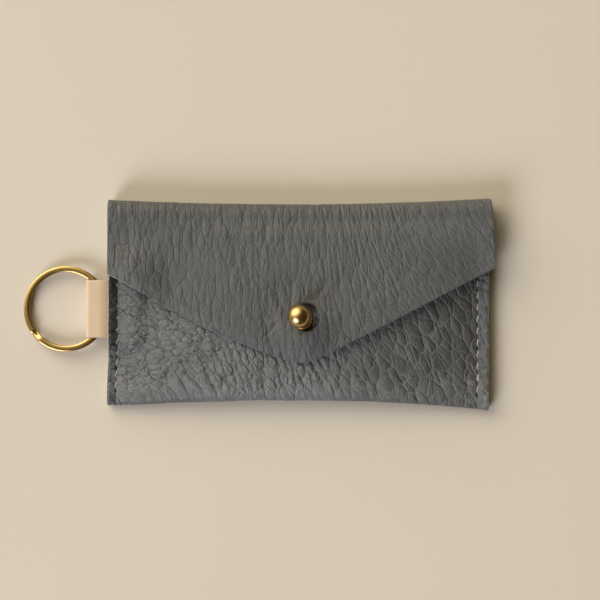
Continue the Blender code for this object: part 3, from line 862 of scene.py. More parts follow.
class Nodes:
    """A tree of shader nodes, with the steps that the finishes and the world share.

    A value is a plain number or colour, or a socket that is linked.
    """

    def __init__(self, tree: bpy.types.NodeTree) -> None:
        """Work on this tree."""
        self.tree = tree

    def plug(self, value: object, socket: Socket) -> None:
        """Link a socket, or set a plain value.

        Args:
            value: What goes in.
            socket: Where it goes.
        """
        if isinstance(value, bpy.types.NodeSocket):
            self.tree.links.new(value, socket)
        else:
            socket.default_value = value

    def node(self, kind: str, output: str | int, inputs: dict[str | int, object], **options: str) -> Socket:
        """Add a node.

        Args:
            kind: Its type, without the first word that they all share.
            output: Which of its outputs is wanted.
            inputs: What goes into its inputs, by name or number.
            options: Its own settings.

        Returns:
            The output.
        """
        node = self.tree.nodes.new(f"ShaderNode{kind}")
        for name, option in options.items():
            setattr(node, name, option)
        for name, value in inputs.items():
            self.plug(value, node.inputs[name])
        return node.outputs[output]

    def sum(self, operation: str, first: object, second: object) -> Socket:
        """One step of arithmetic."""
        return self.node("Math", "Value", {0: first, 1: second}, operation=operation)

    def times(self, first: object, second: object) -> Socket:
        """A product."""
        return self.sum("MULTIPLY", first, second)

    def plus(self, first: object, second: object) -> Socket:
        """A total."""
        return self.sum("ADD", first, second)

    def larger(self, first: object, second: object) -> Socket:
        """The larger of two numbers."""
        return self.sum("MAXIMUM", first, second)

    def blend(self, share: object, first: object, second: object) -> Socket:
        """Mix two colours by a share.

        Args:
            share: From 0 for the first to 1 for the second.
            first: A colour or a socket.
            second: A colour or a socket.

        Returns:
            The mix.
        """
        inputs: dict[str | int, object] = {"Factor": share}
        for slot, colour in ((6, first), (7, second)):
            inputs[slot] = colour if isinstance(colour, bpy.types.NodeSocket) else (*colour, 1)
        return self.node("Mix", 2, inputs, data_type="RGBA")


class Bench(Nodes):
    """A material's nodes, read on object coordinates or on places painted on the mesh."""

    def __init__(self, name: str) -> None:
        """Start a material with its shader and output only.

        Args:
            name: Its name.
        """
        self.material = bpy.data.materials.new(name)
        self.material.use_nodes = True
        super().__init__(self.material.node_tree)
        self.shader = self.tree.nodes["Principled BSDF"]
        self.here = self.node("TexCoord", "Object", {})

    def attribute(self, name: str, output: str = "Fac") -> Socket:
        """A number painted on the mesh, or a place with "Vector" for the output."""
        return self.node("Attribute", output, {}, attribute_name=name)

    def spread(self, stretch: tuple[float, ...], turn: tuple[float, ...]) -> Socket:
        """Object coordinates, turned and then stretched."""
        inputs = {"Vector": self.here, "Scale": stretch, "Rotation": turn}
        return self.node("Mapping", "Vector", inputs, vector_type="TEXTURE")

    def sideways(self) -> Socket:
        """The way across, in metres."""
        return self.node("SeparateXYZ", "X", {"Vector": self.here})

    def noise(self, size: float, detail: float, rough: float = 0.5, place: Socket | None = None) -> Socket:
        """Noise whose largest cells have this size in millimetres.

        Args:
            size: Size of a cell.
            detail: Octaves.
            rough: How much each octave adds.
            place: Where it is read. Object coordinates if left out.

        Returns:
            Its value, from 0 to 1.
        """
        scale = 1 / (size * METRE)
        inputs = {"Vector": place or self.here, "Scale": scale, "Detail": detail, "Roughness": rough}
        return self.node("TexNoise", "Fac", inputs)

    def drift(self, place: Socket, amount: float, scale: float) -> Socket:
        """Push a place about by noise: twice this amount times the noise less a half, each way.

        Args:
            place: The place.
            amount: The furthest that it goes.
            scale: Cells of the noise to one of the place's units.

        Returns:
            The moved place.
        """
        noise = self.node("TexNoise", "Color", {"Vector": place, "Scale": scale, "Detail": 2})
        centred = self.node("VectorMath", "Vector", {0: noise, 1: [0.5] * 3}, operation="SUBTRACT")
        push = {0: centred, 1: [2 * amount] * 3, 2: place}
        return self.node("VectorMath", "Vector", push, operation="MULTIPLY_ADD")

    def cells(self, place: Socket, scale: float, loose: float) -> Socket:
        """Distance to the border between cells, from 0 on it to about half a cell."""
        inputs = {"Vector": place, "Scale": scale, "Randomness": loose}
        return self.node("TexVoronoi", "Distance", inputs, feature="DISTANCE_TO_EDGE")

    def pebble(self, place: Socket, scale: float, loose: float, fall: float = 2.6) -> Socket:
        """Round domes on the same cells.

        Args:
            place: The place.
            scale: Cells to one of the place's units.
            loose: How far the cells are from an even grid.
            fall: How steeply a dome falls.

        Returns:
            1 at a cell's middle, less the fall times the distance squared.
        """
        away = self.node("TexVoronoi", "Distance", {"Vector": place, "Scale": scale, "Randomness": loose})
        return self.sum("SUBTRACT", 1, self.times(self.sum("POWER", away, 2), fall))

    def patch(self, place: Socket, scale: float, low: float, high: float) -> Socket:
        """Noise on a place, spread from low to high."""
        noise = self.node("TexNoise", "Fac", {"Vector": place, "Scale": scale, "Detail": 2})
        return self.ramp(noise, 0.38, 0.62, low, high)

    def pores(self, size: float) -> Socket:
        """Distance to the nearest of scattered points, this many millimetres apart."""
        return self.node("TexVoronoi", "Distance", {"Vector": self.here, "Scale": 1 / (size * METRE)})

    def ramp(self, value: object, low: float, high: float, start: float, end: float) -> Socket:
        """Carry low to start and high to end, and hold outside them."""
        inputs = {"Value": value, "From Min": low, "From Max": high, "To Min": start, "To Max": end}
        return self.node("MapRange", "Result", inputs)

    def shade(self, colour: object, share: object) -> Socket:
        """Multiply a colour by a number."""
        return self.node("VectorMath", "Vector", {0: colour, "Scale": share}, operation="SCALE")

    def bump(self, height: Socket, depth: float, under: Socket | None = None) -> Socket:
        """Raise the surface by a height.

        Args:
            height: The height, of 1 or so.
            depth: How many millimetres a height of 1 is.
            under: Another bump that it comes on top of.

        Returns:
            The surface's normal.
        """
        inputs: dict[str | int, object] = {"Distance": depth * METRE, "Height": height}
        if under is not None:
            inputs["Normal"] = under
        return self.node("Bump", "Normal", inputs)

    def finish(self, **values: object) -> Material:
        """Plug the shader's sockets, by name with underscores for spaces.

        Args:
            values: What goes into each.

        Returns:
            The material.
        """
        for name, value in values.items():
            self.plug(value, self.shader.inputs[name.replace("_", " ")])
        return self.material


@dataclass(frozen=True)
class GrainFinish:
    """Grained grey hide: a net of creases between domed pebbles, with a finer net in it.

    The net is laid on the places painted as "net", in cells, so that its creases follow the hide.
    """

    name: str = "grained_hide"
    colour: Colour = (0.114, 0.1195, 0.1235)
    # Painted shade in the creases.
    crease_shade_colour: Colour = (0.04, 0.041, 0.042)
    # A painted highlight along the creases, where their lit walls catch the light.
    crease_highlight_colour: Colour = (0.22, 0.223, 0.22)
    # Colour of wear and of a painted highlight.
    rub_colour: Colour = (0.3, 0.29, 0.26)
    # Painted shade in the stitch holes and round the stud.
    pit_colour: Colour = (0.012, 0.011, 0.010)
    roughness: float = 0.44
    crease_width: float = 0.07
    groove_width: float = 0.13
    loose: float = 0.85
    small_scale: float = 2.1
    pebble_share: float = 0.75
    groove_share: float = 0.35
    small_share: float = 0.4
    swell_share: float = 0.5
    dome: float = 0.3
    fine_depth: float = 0.17

    def make(self) -> Material:
        """The material, from the two nets' borders and domes.

        Returns:
            Creases with painted shade and a painted highlight in them, less gloss in them, and domes
            between them.
        """
        bench = Bench(self.name)
        # The places on the net are pushed about, so that the creases wander.
        place = bench.drift(bench.attribute("net", "Vector"), 0.4, 0.6)
        place = bench.drift(place, 0.1, 2.4)
        # Both nets are stronger and weaker in patches.
        border = bench.cells(place, 1, self.loose)
        strength = bench.patch(place, 0.55, 0.45, 1)
        crease = bench.times(bench.ramp(border, 0, self.crease_width, 1, 0), strength)
        small_border = bench.cells(place, self.small_scale, 1)
        small_strength = bench.patch(place, 1.1, -0.15, 0.75)
        small = bench.times(bench.ramp(small_border, 0, self.crease_width, 1, 0), small_strength)
        small = bench.times(bench.larger(small, 0), bench.attribute("pebbles"))
        either = bench.larger(crease, bench.times(small, 0.55))
        # Colour under clouds, specks and a tone of painted light and shade: worn and with a painted
        # highlight,
        # # with painted shade and a painted highlight in the creases, and painted shade in the holes.
        cloud = bench.noise(9, 4)
        speck = bench.noise(0.35, 4, 0.65)
        tone = bench.times(bench.ramp(cloud, 0.3, 0.7, 0.95, 1.05), bench.ramp(speck, 0.3, 0.7, 0.92, 1.08))
        # The painted tone lays light and shade over the hide.
        tone = bench.times(tone, bench.attribute("tone"))
        body = bench.blend(bench.attribute("rub"), self.colour, self.rub_colour)
        body = bench.blend(bench.times(either, bench.attribute("dark")), body, self.crease_shade_colour)
        body = bench.blend(bench.times(either, bench.attribute("light")), body, self.crease_highlight_colour)
        body = bench.blend(bench.attribute("pit"), body, self.pit_colour)
        # Glossier where it sheens, and dull in the creases.
        rough = bench.ramp(cloud, 0.3, 0.7, self.roughness - 0.04, self.roughness + 0.05)
        rough = bench.sum("SUBTRACT", rough, bench.times(bench.attribute("sheen"), 0.16))
        rough = bench.plus(rough, bench.times(either, 0.3))
        # Domes with grooves between them, smaller domes, and soft noise.
        groove = bench.sum("POWER", bench.ramp(border, 0, self.groove_width, 0, 1), 0.7)
        dome = bench.times(bench.pebble(place, 1, self.loose), self.pebble_share)
        dome = bench.times(bench.plus(bench.times(groove, self.groove_share), dome), strength)
        small_dome = bench.times(bench.pebble(place, self.small_scale, 1), bench.larger(small_strength, 0))
        small_dome = bench.times(small_dome, bench.attribute("pebbles"))
        height = bench.plus(dome, bench.times(small_dome, self.small_share))
        height = bench.plus(height, bench.times(bench.noise(1.1, 4, 0.6), self.swell_share))
        height = bench.times(height, bench.attribute("depth"))
        fine = bench.bump(bench.noise(0.55, 3, 0.7), self.fine_depth, bench.bump(height, self.dome))
        return bench.finish(Base_Color=bench.shade(body, tone), Roughness=rough, Normal=fine)


@dataclass(frozen=True)
class FleshFinish:
    """The hide's unfinished inside: a matt, short-fibred suede."""

    name: str = "flesh_side"
    colour: Colour = (0.15, 0.145, 0.135)
    pale: Colour = (0.24, 0.23, 0.21)

    def make(self) -> Material:
        """The material.

        Returns:
            Blended fibres under a short nap.
        """
        bench = Bench(self.name)
        fibre = bench.noise(0.6, 6, 0.7)
        body = bench.blend(bench.ramp(fibre, 0.35, 0.65, 0, 1), self.colour, self.pale)
        nap = bench.bump(bench.noise(0.3, 4, 0.7), 0.08)
        return bench.finish(Base_Color=body, Roughness=0.92, Normal=nap, Sheen_Weight=0.15)


@dataclass(frozen=True)
class CutFinish:
    """A raw cut edge: pale fibres between the dyed faces."""

    name: str
    colour: Colour
    pale: Colour

    def make(self) -> Material:
        """The material.

        Returns:
            Blended fibres, raised by the same noise.
        """
        bench = Bench(self.name)
        fibre = bench.noise(0.35, 5, 0.7)
        body = bench.blend(bench.ramp(fibre, 0.35, 0.65, 0, 1), self.colour, self.pale)
        return bench.finish(Base_Color=body, Roughness=0.85, Normal=bench.bump(fibre, 0.08))


@dataclass(frozen=True)
class TabFinish:
    """Pale vegetable-tanned leather: smooth, with close pores and a little handling."""

    name: str = "tab_leather"
    colour: Colour = (0.62, 0.475, 0.345)
    # Colour of handling, and of the painted shadow that the pocket casts.
    handled_and_shadow: Colour = (0.56, 0.38, 0.24)

    def make(self) -> Material:
        """The material.

        Returns:
            Pores and handling over the colour, and a painted shadow where the pocket shades it.
        """
        bench = Bench(self.name)
        cloud = bench.noise(4, 4)
        speck = bench.noise(0.22, 3, 0.6)
        body = bench.blend(bench.ramp(cloud, 0.35, 0.75, 0, 0.45), self.colour, self.handled_and_shadow)
        # Painted shadow of the pocket across the strip.
        body = bench.blend(bench.attribute("shadow_stain"), body, self.handled_and_shadow)
        body = bench.shade(body, bench.ramp(speck, 0.3, 0.7, 0.96, 1.04))
        fine = bench.bump(bench.pores(0.3), 0.015)
        fine = bench.bump(bench.noise(0.7, 4, 0.6), 0.02, fine)
        return bench.finish(Base_Color=body, Roughness=0.5, Normal=fine)


@dataclass(frozen=True)
class BrassFinish:
    """Polished brass with hairline scratches and slight tarnish."""

    name: str
    colour: Colour
    roughness: float
    tarnish: Colour = (0.46, 0.29, 0.09)

    def make(self) -> Material:
        """The material.

        Returns:
            A metal, tarnished in clouds, with hairlines in its gloss.
        """
        bench = Bench(self.name)
        cloud = bench.noise(2.5, 4)
        hairs = bench.noise(0.12, 3, 0.6, bench.spread((9, 1, 1), (0.4, 0.3, 0.7)))
        body = bench.blend(bench.ramp(cloud, 0.45, 0.75, 0, 0.6), self.colour, self.tarnish)
        rough = bench.ramp(hairs, 0.3, 0.75, self.roughness - 0.01, self.roughness + 0.02)
        fine = bench.bump(hairs, 0.0001)
        return bench.finish(Base_Color=body, Metallic=1.0, Roughness=rough, Normal=fine)


@dataclass(frozen=True)
class ThreadFinish:
    """Waxed cream linen thread, with painted shade between its plies."""

    name: str = "cream_thread"
    colour: Colour = (0.55, 0.49, 0.42)
    # Colour of the painted shade between the plies.
    dark: Colour = (0.24, 0.2, 0.16)

    def make(self) -> Material:
        """The material.

        Returns:
            The colour, with painted shade between the plies, fluffed by noise.
        """
        bench = Bench(self.name)
        fluff = bench.noise(0.15, 3, 0.6)
        body = bench.blend(bench.attribute("ply"), self.colour, self.dark)
        body = bench.shade(body, bench.ramp(fluff, 0.3, 0.7, 0.85, 1.1))
        return bench.finish(Base_Color=body, Roughness=0.7, Normal=bench.bump(fluff, 0.03))


@dataclass(frozen=True)
class FloorFinish:
    """The pale studio floor, with the faintest speckle, and painted light that makes it a little paler on
    its left.
    """

    name: str = "pale_floor"
    colour: Colour = (0.672, 0.609, 0.527)

    def make(self) -> Material:
        """The material.

        Returns:
            The colour times two faint noises and a slope across of painted light.
        """
        bench = Bench(self.name)
        speck = bench.noise(0.8, 3, 0.6)
        cloud = bench.noise(120, 2)
        low, high = 0.985, 1.015
        tone = bench.times(bench.ramp(speck, 0.3, 0.7, low, high), bench.ramp(cloud, 0.3, 0.7, low, high))
        # Painted light: a little paler to the left, as if the lamp's light fell off across the floor.
        tone = bench.times(tone, bench.ramp(bench.sideways(), -0.09, 0.09, 1.035, 0.965))
        base = bench.shade(self.colour, tone)
        return bench.finish(Base_Color=base, Roughness=0.9, Specular_IOR_Level=0.1)


def dress(obj: bpy.types.Object, *materials: Material) -> None:
    """Put the materials in the object's places, and leave each face its own place.

    Args:
        obj: The piece.
        materials: Its finishes, in the order of its material places.
    """
    for place, material in enumerate(materials):
        if place < len(obj.data.materials):
            obj.data.materials[place] = material
        else:
            obj.data.materials.append(material)


def report(obj: bpy.types.Object) -> None:
    """Log a finished piece."""
    LOG.info("%s: %d faces", obj.name, len(obj.data.polygons))


@dataclass(frozen=True)
class SeamPlan:
    """One side seam: where its holes are, and which gap is sewn over twice, if one is."""

    name: str
    x: float
    first_y: float
    pitch: float
    count: int = 14
    hole_radius: float = 0.5
    doubled_gap: int = -1
    past_end: float = 1.2
    end_fade: float = 0.8

    def away(self, x: Array, y: Array) -> Array:
        """Distance to the nearest hole, whose number is the height over the pitch, rounded."""
        number = np.clip(np.rint((y - self.first_y) / self.pitch), 0, self.count - 1)
        return np.hypot(x - self.x, y - self.first_y - number * self.pitch)

    def line(self, x: Array, y: Array, width: float) -> Array:
        """A bell across the stitch line, within the sewn length."""
        middle, half = self.first_y + self.pitch * (self.count - 1) / 2, self.pitch * (self.count - 1) / 2
        return smooth((half + self.past_end - np.abs(y - middle)) / self.end_fade) * bell(x - self.x, width)


@dataclass
class LeatherHolder:
    """The folded hide: front, bottom fold and back in one piece, and the flap with the top fold."""

    shape: PocketShape
    seams: tuple[SeamPlan, SeamPlan]
    pocket_columns: int = 360
    pocket_rows: tuple[int, ...] = (54, 18, 141)
    flap_columns: int = 384
    flap_rows: tuple[int, ...] = (150, 3, 36, 3)
    corner_round: float = 0.18
    front_limit: float = 0.05
    flap_limit: float = 0.25
    skive: float = 0.6
    slant: float = 0.87
    groove: float = 0.62
    shank_hole: float = 1.6
    shank_window: int = 9
    shank_rings: int = 6
    stud_hole: Hole = Hole(2.0, -4.3, 4.1, (18, 78, 168, 228), 21)
    net_foot: float = -14.0
    blend_tilt_deg: float = 35.0
    blend_reach: tuple[float, float] = (3.5, 14.5)
    front_wrinkles: tuple[Stroke, ...] = (
        Stroke((-55.2, -11.7), (-52.6, -12.1), 0.28, 0.25),
        Stroke((-54.9, -28.2), (-51.6, -32.0), 0.3, 0.26),
        Stroke((-53.6, -27.6), (-50.5, -31.6), 0.3, 0.24),
        Stroke((-52.0, -27.6), (-49.4, -31.0), 0.3, 0.2),
        Stroke((-50.4, -28.0), (-48.0, -30.8), 0.3, 0.14),
        Stroke((-47.0, -13.0), (-30.0, -15.5), 0.7, 0.10),
        Stroke((-49.0, -8.0), (-36.0, -12.6), 0.7, 0.12),
        Stroke((-45.0, -6.0), (-33.0, -9.0), 0.6, 0.10),
        Stroke((-47.0, -17.5), (-38.0, -19.0), 0.5, 0.10),
    )
    flap_pulls: tuple[Stroke, ...] = (
        Stroke((-4.8, -4.2), (-11.4, -11.6), 0.6, 0.24),
        Stroke((-5.4, -7.4), (-9.6, -12.6), 0.6, 0.12),
        Stroke((-7.0, -5.6), (-12.4, -9.4), 0.9, 0.10),
        Stroke((-5.0, -4.3), (-13.4, -5.2), 0.5, 0.2),
        Stroke((-4.0, -1.8), (-9.6, 4.4), 0.7, 0.14),
        Stroke((-2.2, 0.2), (-5.6, 8.6), 0.5, 0.12),
        Stroke((1.6, 1.4), (2.0, 8.0), 0.5, 0.1),
        Stroke((5.0, 1.2), (9.0, 6.4), 0.8, 0.08),
        Stroke((7.4, -1.6), (8.6, -7.0), 0.4, 0.18),
        Stroke((9.4, -0.6), (10.8, -7.6), 0.4, 0.14),
        Stroke((6.4, 1.6), (12.4, 0.4), 0.4, 0.16),
    )

    def pocket_sites(self, wrap: PocketWrap) -> Array:
        """Places of the pocket's pattern: closer columns at the seams, even rows in each band.

        Columns stand where a running total of their density grows evenly. The density is 1, with a
        bell at each seam and each side.

        Args:
            wrap: The pocket's surface.

        Returns:
            Rows and columns of x and s.
        """
        half = self.shape.half_width
        ruler = np.linspace(-half, half, 4001)
        density = 1 + 1.3 * sum(bell(ruler - seam.x, 1.1) for seam in self.seams)
        density = density + 1.2 * bell(np.abs(ruler) - half, 0.6)
        total = np.cumsum(density)
        total = (total - total[0]) / (total[-1] - total[0])
        x = np.interp(np.linspace(0, 1, self.pocket_columns + 1), total, ruler)
        return self.fill_bands(wrap.bounds(x), x, self.pocket_rows)

    def fill_bands(self, bounds: list[Array], x: Array, rows: tuple[int, ...]) -> Array:
        """Even rows between each pair of a pattern's bounds.

        Args:
            bounds: Heights of the bounds, one for each column.
            x: The columns.
            rows: How many rows each band takes.

        Returns:
            Rows and columns of x and s.
        """
        bands = []
        for low, high, count in zip(bounds[:-1], bounds[1:], rows):
            share = np.arange(count)[:, None] / count
            bands.append(low + (high - low) * share)
        s = np.concatenate([*bands, bounds[-1][None]])
        return np.stack([np.broadcast_to(x, s.shape), s], axis=-1)

    def pocket_relief(self, wrap: PocketWrap) -> Relief:
        """Grain of the front, fold and back, with stitch holes, the back's grooves and wrinkles.

        The net's cells are narrowest in the middle. The count of cells up to a place across is the
        running total of one over their width.

        Args:
            wrap: The pocket's surface.

        Returns:
            Height and marks, as a function of places on the pattern.
        """
        shape, (left, right) = self.shape, self.seams
        ruler = np.linspace(-60, 60, 241)
        cell = 3.1 - 1.2 * rise(ruler, -34, 24) + 0.9 * rise(ruler, 2, 24)
        cells_across = np.cumsum((ruler[1] - ruler[0]) / cell)

        def relief(x: Array, s: Array) -> dict[str, Array]:
            """Height and marks, led from soft low pebbles at the left to a tall net at the right.

            Args:
                x: Places across the pattern.
                s: Places up the pattern.

            Returns:
                The height in millimetres, the place on the net, and the shares that the finish reads.
            """
            y = wrap.place(x, s)[..., 1]
            bounds = wrap.bounds(x)
            # Where a place is: on the back, to the right, among upright cells, low down, lower left.
            back = rise(bounds[1] - s, -0.75, 1.5)
            front = 1 - back
            to_right = rise(x, 2, 22)
            upright = rise(x - 0.9 * (y + 18), -36, 18)
            low = rise(-y, 20, 5)
            corner = rise(-y, 23, 3.5) * (1 - 0.9 * rise(x, 12, 20)) * (0.6 + 0.4 * rise(-x, 22, 12))
            # The net leans a little to the left, and its cells stand taller to the right.
            lean = np.radians(-8 + 4 * to_right)
            up = s - self.net_foot
            across = np.interp(x, ruler, cells_across) + 0.16 * up * np.cos(lean)
            along = up / (1.9 + 1.4 * upright + 1.7 * to_right) - 0.05 * x
            # Soft swells, calmer where the cells are upright and at the lower left, and the wrinkles.
            swell = 0.32 * ripple(x / 3.4, s / 1.6, 42) * (1 - 0.8 * to_right) * (1 - 0.5 * upright)
            swell = swell + 0.12 * ripple(x / 1.3, s / 1.0, 45) * (1 - to_right)
            swell = swell * (1 - 0.6 * corner) + 0.10 * ripple(x / 7, s / 6, 41)
            sunk = sum(stroke.sink(x, y) for stroke in self.front_wrinkles)
            height = (swell - sunk) * front
            # Painted shade darkens a round about the stud, which lies deep in the flap's hole, and the
            # stitch holes; the stitches sink in and hold the hide flat.
            from_stud = np.hypot(x - shape.stud_x - 0.8, y - shape.stud_y - 0.6)
            pit = 0.45 * (1 - rise(from_stud, 4.2, 1.6)) * front
            for seam in self.seams:
                hole = 1 - smooth(seam.away(x, y) / seam.hole_radius)
                pit = np.maximum(pit, hole)
                height = height * (1 - 0.6 * seam.line(x, y, 0.7))
                height = height - 0.1 * seam.line(x, y, 0.45) - 0.55 * hole * front
                height = height - self.groove * seam.line(x, y, 0.5) ** 0.5 * back
            # The cut corners are rounded off, the swells stop at their limit, and the margins are cobbled.
            rim = np.minimum(shape.half_width - np.abs(x), np.abs(shape.mouth_y - s))
            height = height - self.corner_round * (1 - smooth(rim / 0.5))
            height = np.minimum(height, self.front_limit)
            margin = rise(x, right.x + 0.4, 0.8) + rise(-x, 0.4 - left.x, 0.8)
            height = height + 0.27 * ripple(x / 2.4, y / 0.75, 44) * margin * front
            # Painted light in the tone: darker to the right, lighter along the lower band but not at the
            # lower left.
            shaded_corner = rise(-x, 20, 14) * rise(-y, 24, 3)
            tone = 0.12 * upright - 0.54 * to_right + 0.2 * (1 - shaded_corner) * low
            return {
                "height": height,
                "net": np.stack([across, along, 40 * back], axis=-1),
                "depth": (1.42 - 0.1 * to_right) * (1 - 0.75 * corner) * front + 0.5 * back,
                "pebbles": 1 - 0.7 * to_right * front,
                "dark": 0.12 * (1 - to_right) + 0.1,
                # Painted highlight along the creases, more to the right.
                "light": 0.9 * to_right * front,
                "sheen": (1 - to_right) * front,
                "tone": 1.1 + tone * front,
                "pit": smooth(pit * 1.6 - 0.3),
                # A pale band round the bottom fold.
                "rub": 0.06 * smooth((0.5 - np.abs(s - bounds[2] + 1.2) / 3)),
            }

        return relief

    def flap_relief(self, wrap: FlapWrap) -> Relief:
        """Grain of the flap, drawn out up and down, with the pull lines round the stud.

        Args:
            wrap: The flap's surface.

        Returns:
            Height and marks, as a function of places on the pattern.
        """
        shape, hole = self.shape, self.stud_hole

        def relief(x: Array, s: Array) -> dict[str, Array]:
            """Height and marks, with the net turned over to the right and drawn towards the hole.

            Args:
                x: Places across the pattern.
                s: Places up the pattern.

            Returns:
                The height in millimetres, the place on the net, and the shares that the finish reads.
            """
            away = np.hypot(x - hole.x, s - hole.y)
            to_right = rise(x, 2, 34)
            # The net runs up and down, turns over to the right, and is drawn in towards the hole.
            turn = np.radians(92 + 34 * to_right)
            along = ((x - 20) * np.cos(turn) + (s + 2) * np.sin(turn)) / (4.9 - 1.5 * to_right)
            across = ((s + 2) * np.cos(turn) - (x - 20) * np.sin(turn)) / (1.8 - 0.15 * to_right)
            drawn = 0.55 * bell(away, 9) * (x - hole.x) / np.maximum(away, 1.5)
            # Faint swells, and the lines that the stud pulls.
            calm = 1 - 0.35 * rise(x, 24, 22)
            height = 0.05 * ripple(x / 2.4, s / 5, 62) + 0.05 * ripple(x / 6, s / 8, 61)
            height = height * calm * (1 - 0.5 * bell(away - hole.radius, 2))
            height = height - sum(stroke.sink(x, s) for stroke in self.flap_pulls)
            # The cut edges are rounded off, and the left one is pared thin.
            edge = (s - wrap.bounds(x)[0]) * self.slant
            rim = np.minimum(np.minimum(edge, shape.half_width + x), self.right_edge(s) - x)
            rim = np.minimum(rim, away - hole.radius)
            height = height - 0.1 * (1 - smooth(rim / 0.35))
            skived = self.skive * (1 - smooth(edge / 3.2)) * rise(-x, -6, 8)
            height = np.minimum(height, self.flap_limit) - skived
            # A painted highlight along the top fold, and a pale cut edge with a painted highlight along the
            # left edge.
            # # The tone paints light to the right and in a patch at the left, and shade low down and over
            # the fold.
            patch = 0.5 + 0.5 * ripple(x / 7, s / 7, 61)
            rub = 0.12 * smooth(1 - np.abs(s - shape.hinge_y - 6) / 5) * patch
            rub = np.maximum(rub, (1 - smooth(edge / 0.45)) * rise(-x, 44.5, 5))
            tone = 0.78 + 0.09 * to_right - 0.06 * rise(-s, 6, 6)
            tone = tone - (0.08 + 0.12 * to_right) * rise(s, shape.hinge_y - 1, 4)
            tone = tone + 0.1 * bell(x + 40.5, 4) * bell(s - 7, 8)
            # A lip stands round the lower side of the recess beside the ball.
            from_flange = np.hypot(x, s + 3.9)
            below = smooth(0.2 - np.cos(np.arctan2(s - hole.y, x - hole.x) - 0.9))
            lip = 0.13 * bell(from_flange - 5.6, 0.7) - 0.08 * bell(from_flange - 4.7, 0.5)
            return {
                "height": height + lip * below,
                "net": np.stack([along, across + drawn, 0.03 * x + 0.1 * along], axis=-1),
                "depth": 0.61 * calm,
                "pebbles": 0.45 + 0.4 * smooth((8 - np.abs(s - 2)) / 8),
                "dark": 0.3 * calm,
                # Painted highlight along the creases, more to the right.
                "light": 0.06 + 0.25 * smooth(0.5 + x / 40),
                "tone": tone,
                "pit": np.zeros_like(x),
                "rub": rub,
            }

        return relief

    def right_edge(self, s: Array) -> Array:
        """The flap's right edge: flush at the back, and standing out more down to its corner.

        Args:
            s: Places up the pattern.

        Returns:
            Places across.
        """
        shape = self.shape
        arc = math.pi * (shape.top_radius - shape.leather / 2)
        over = np.clip(1 - (s - shape.hinge_y) / arc, 0, 1) * shape.root_overhang
        down = np.clip((shape.hinge_y - s) / shape.flap_right_drop, 0, 1)
        return shape.half_width + over + (shape.corner_overhang - shape.root_overhang) * down

    def flap_sites(self, wrap: FlapWrap) -> Array:
        """Places of the flap's pattern: even columns, led out to the right edge at their end.

        Args:
            wrap: The flap's surface.

        Returns:
            Rows and columns of x and s.
        """
        half = self.shape.half_width
        x = np.linspace(-half, half, self.flap_columns + 1)
        sites = self.fill_bands(wrap.bounds(x), x, self.flap_rows)
        lead = smooth((x - 0.6 * half) / (0.4 * half))
        moved = x + (self.right_edge(sites[..., 1]) - half) * lead
        root = self.shape.hinge_y
        low = sites[..., 1] < root
        share = (root - sites[..., 1]) / (root - self.shape.flap_edge(x))
        s = np.where(low, root - share * (root - self.shape.flap_edge(moved)), sites[..., 1])
        return np.stack([moved, s], axis=-1)

    def build(self, grain: Material, flesh: Material, cut: Material) -> None:
        """Make and dress both pieces of the hide.

        Args:
            grain: The outside.
            flesh: The inside.
            cut: The cut edge.
        """
        shape = self.shape
        pocket = PocketWrap(shape)
        body = Hide("pocket_hide", pocket.place, shape.leather)
        sites = self.pocket_sites(pocket)
        column = int(np.abs(sites[0, :, 0] - shape.stud_x).argmin()) // body.coarse * body.coarse
        row = int(np.abs(sites[:, column, 1] - shape.stud_y).argmin()) // body.coarse * body.coarse
        reach = self.shank_window
        window = (row - reach, row + reach, column - reach, column + reach)
        shank = Hole(shape.stud_x, shape.stud_y, self.shank_hole, window, self.shank_rings)
        obj = body.build(sites, shank, self.pocket_relief(pocket))
        dress(obj, grain, flesh, cut)
        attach(obj, "pocket")
        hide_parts("back_panel", "bottom_fold", "front_panel")
        report(obj)
        flap = FlapWrap(shape)
        lid = Hide("flap_hide", flap.place, shape.leather)
        obj = lid.build(self.flap_sites(flap), self.stud_hole, self.flap_relief(flap))
        dress(obj, grain, flesh, cut)
        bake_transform(obj)
        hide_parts("flap", "top_fold")
        report(obj)


@dataclass(frozen=True)
class RingShape:
    """The split ring: two turns of flat wire in a plane that is tipped up towards the pocket."""

    radius: float = 12.45
    wire_width: float = 1.7
    wire_thickness: float = 0.7
    coil_gap: float = 0.45
    step_deg: float = 14.0
    heading_deg: float = 230.0
    x: float = -67.8
    y: float = -1.9
    z: float = 2.16
    tilt_deg: float = 5.692920

    def lift(self, along: Array, off: Array) -> tuple[Array, Array]:
        """x and z of a point of the ring's plane.

        Args:
            along: Distance along the plane from the ring's middle, towards the pocket.
            off: Distance off the plane.

        Returns:
            x and z.
        """
        tilt = math.radians(self.tilt_deg)
        x = self.x + along * math.cos(tilt) - off * math.sin(tilt)
        return x, self.z + along * math.sin(tilt) + off * math.cos(tilt)


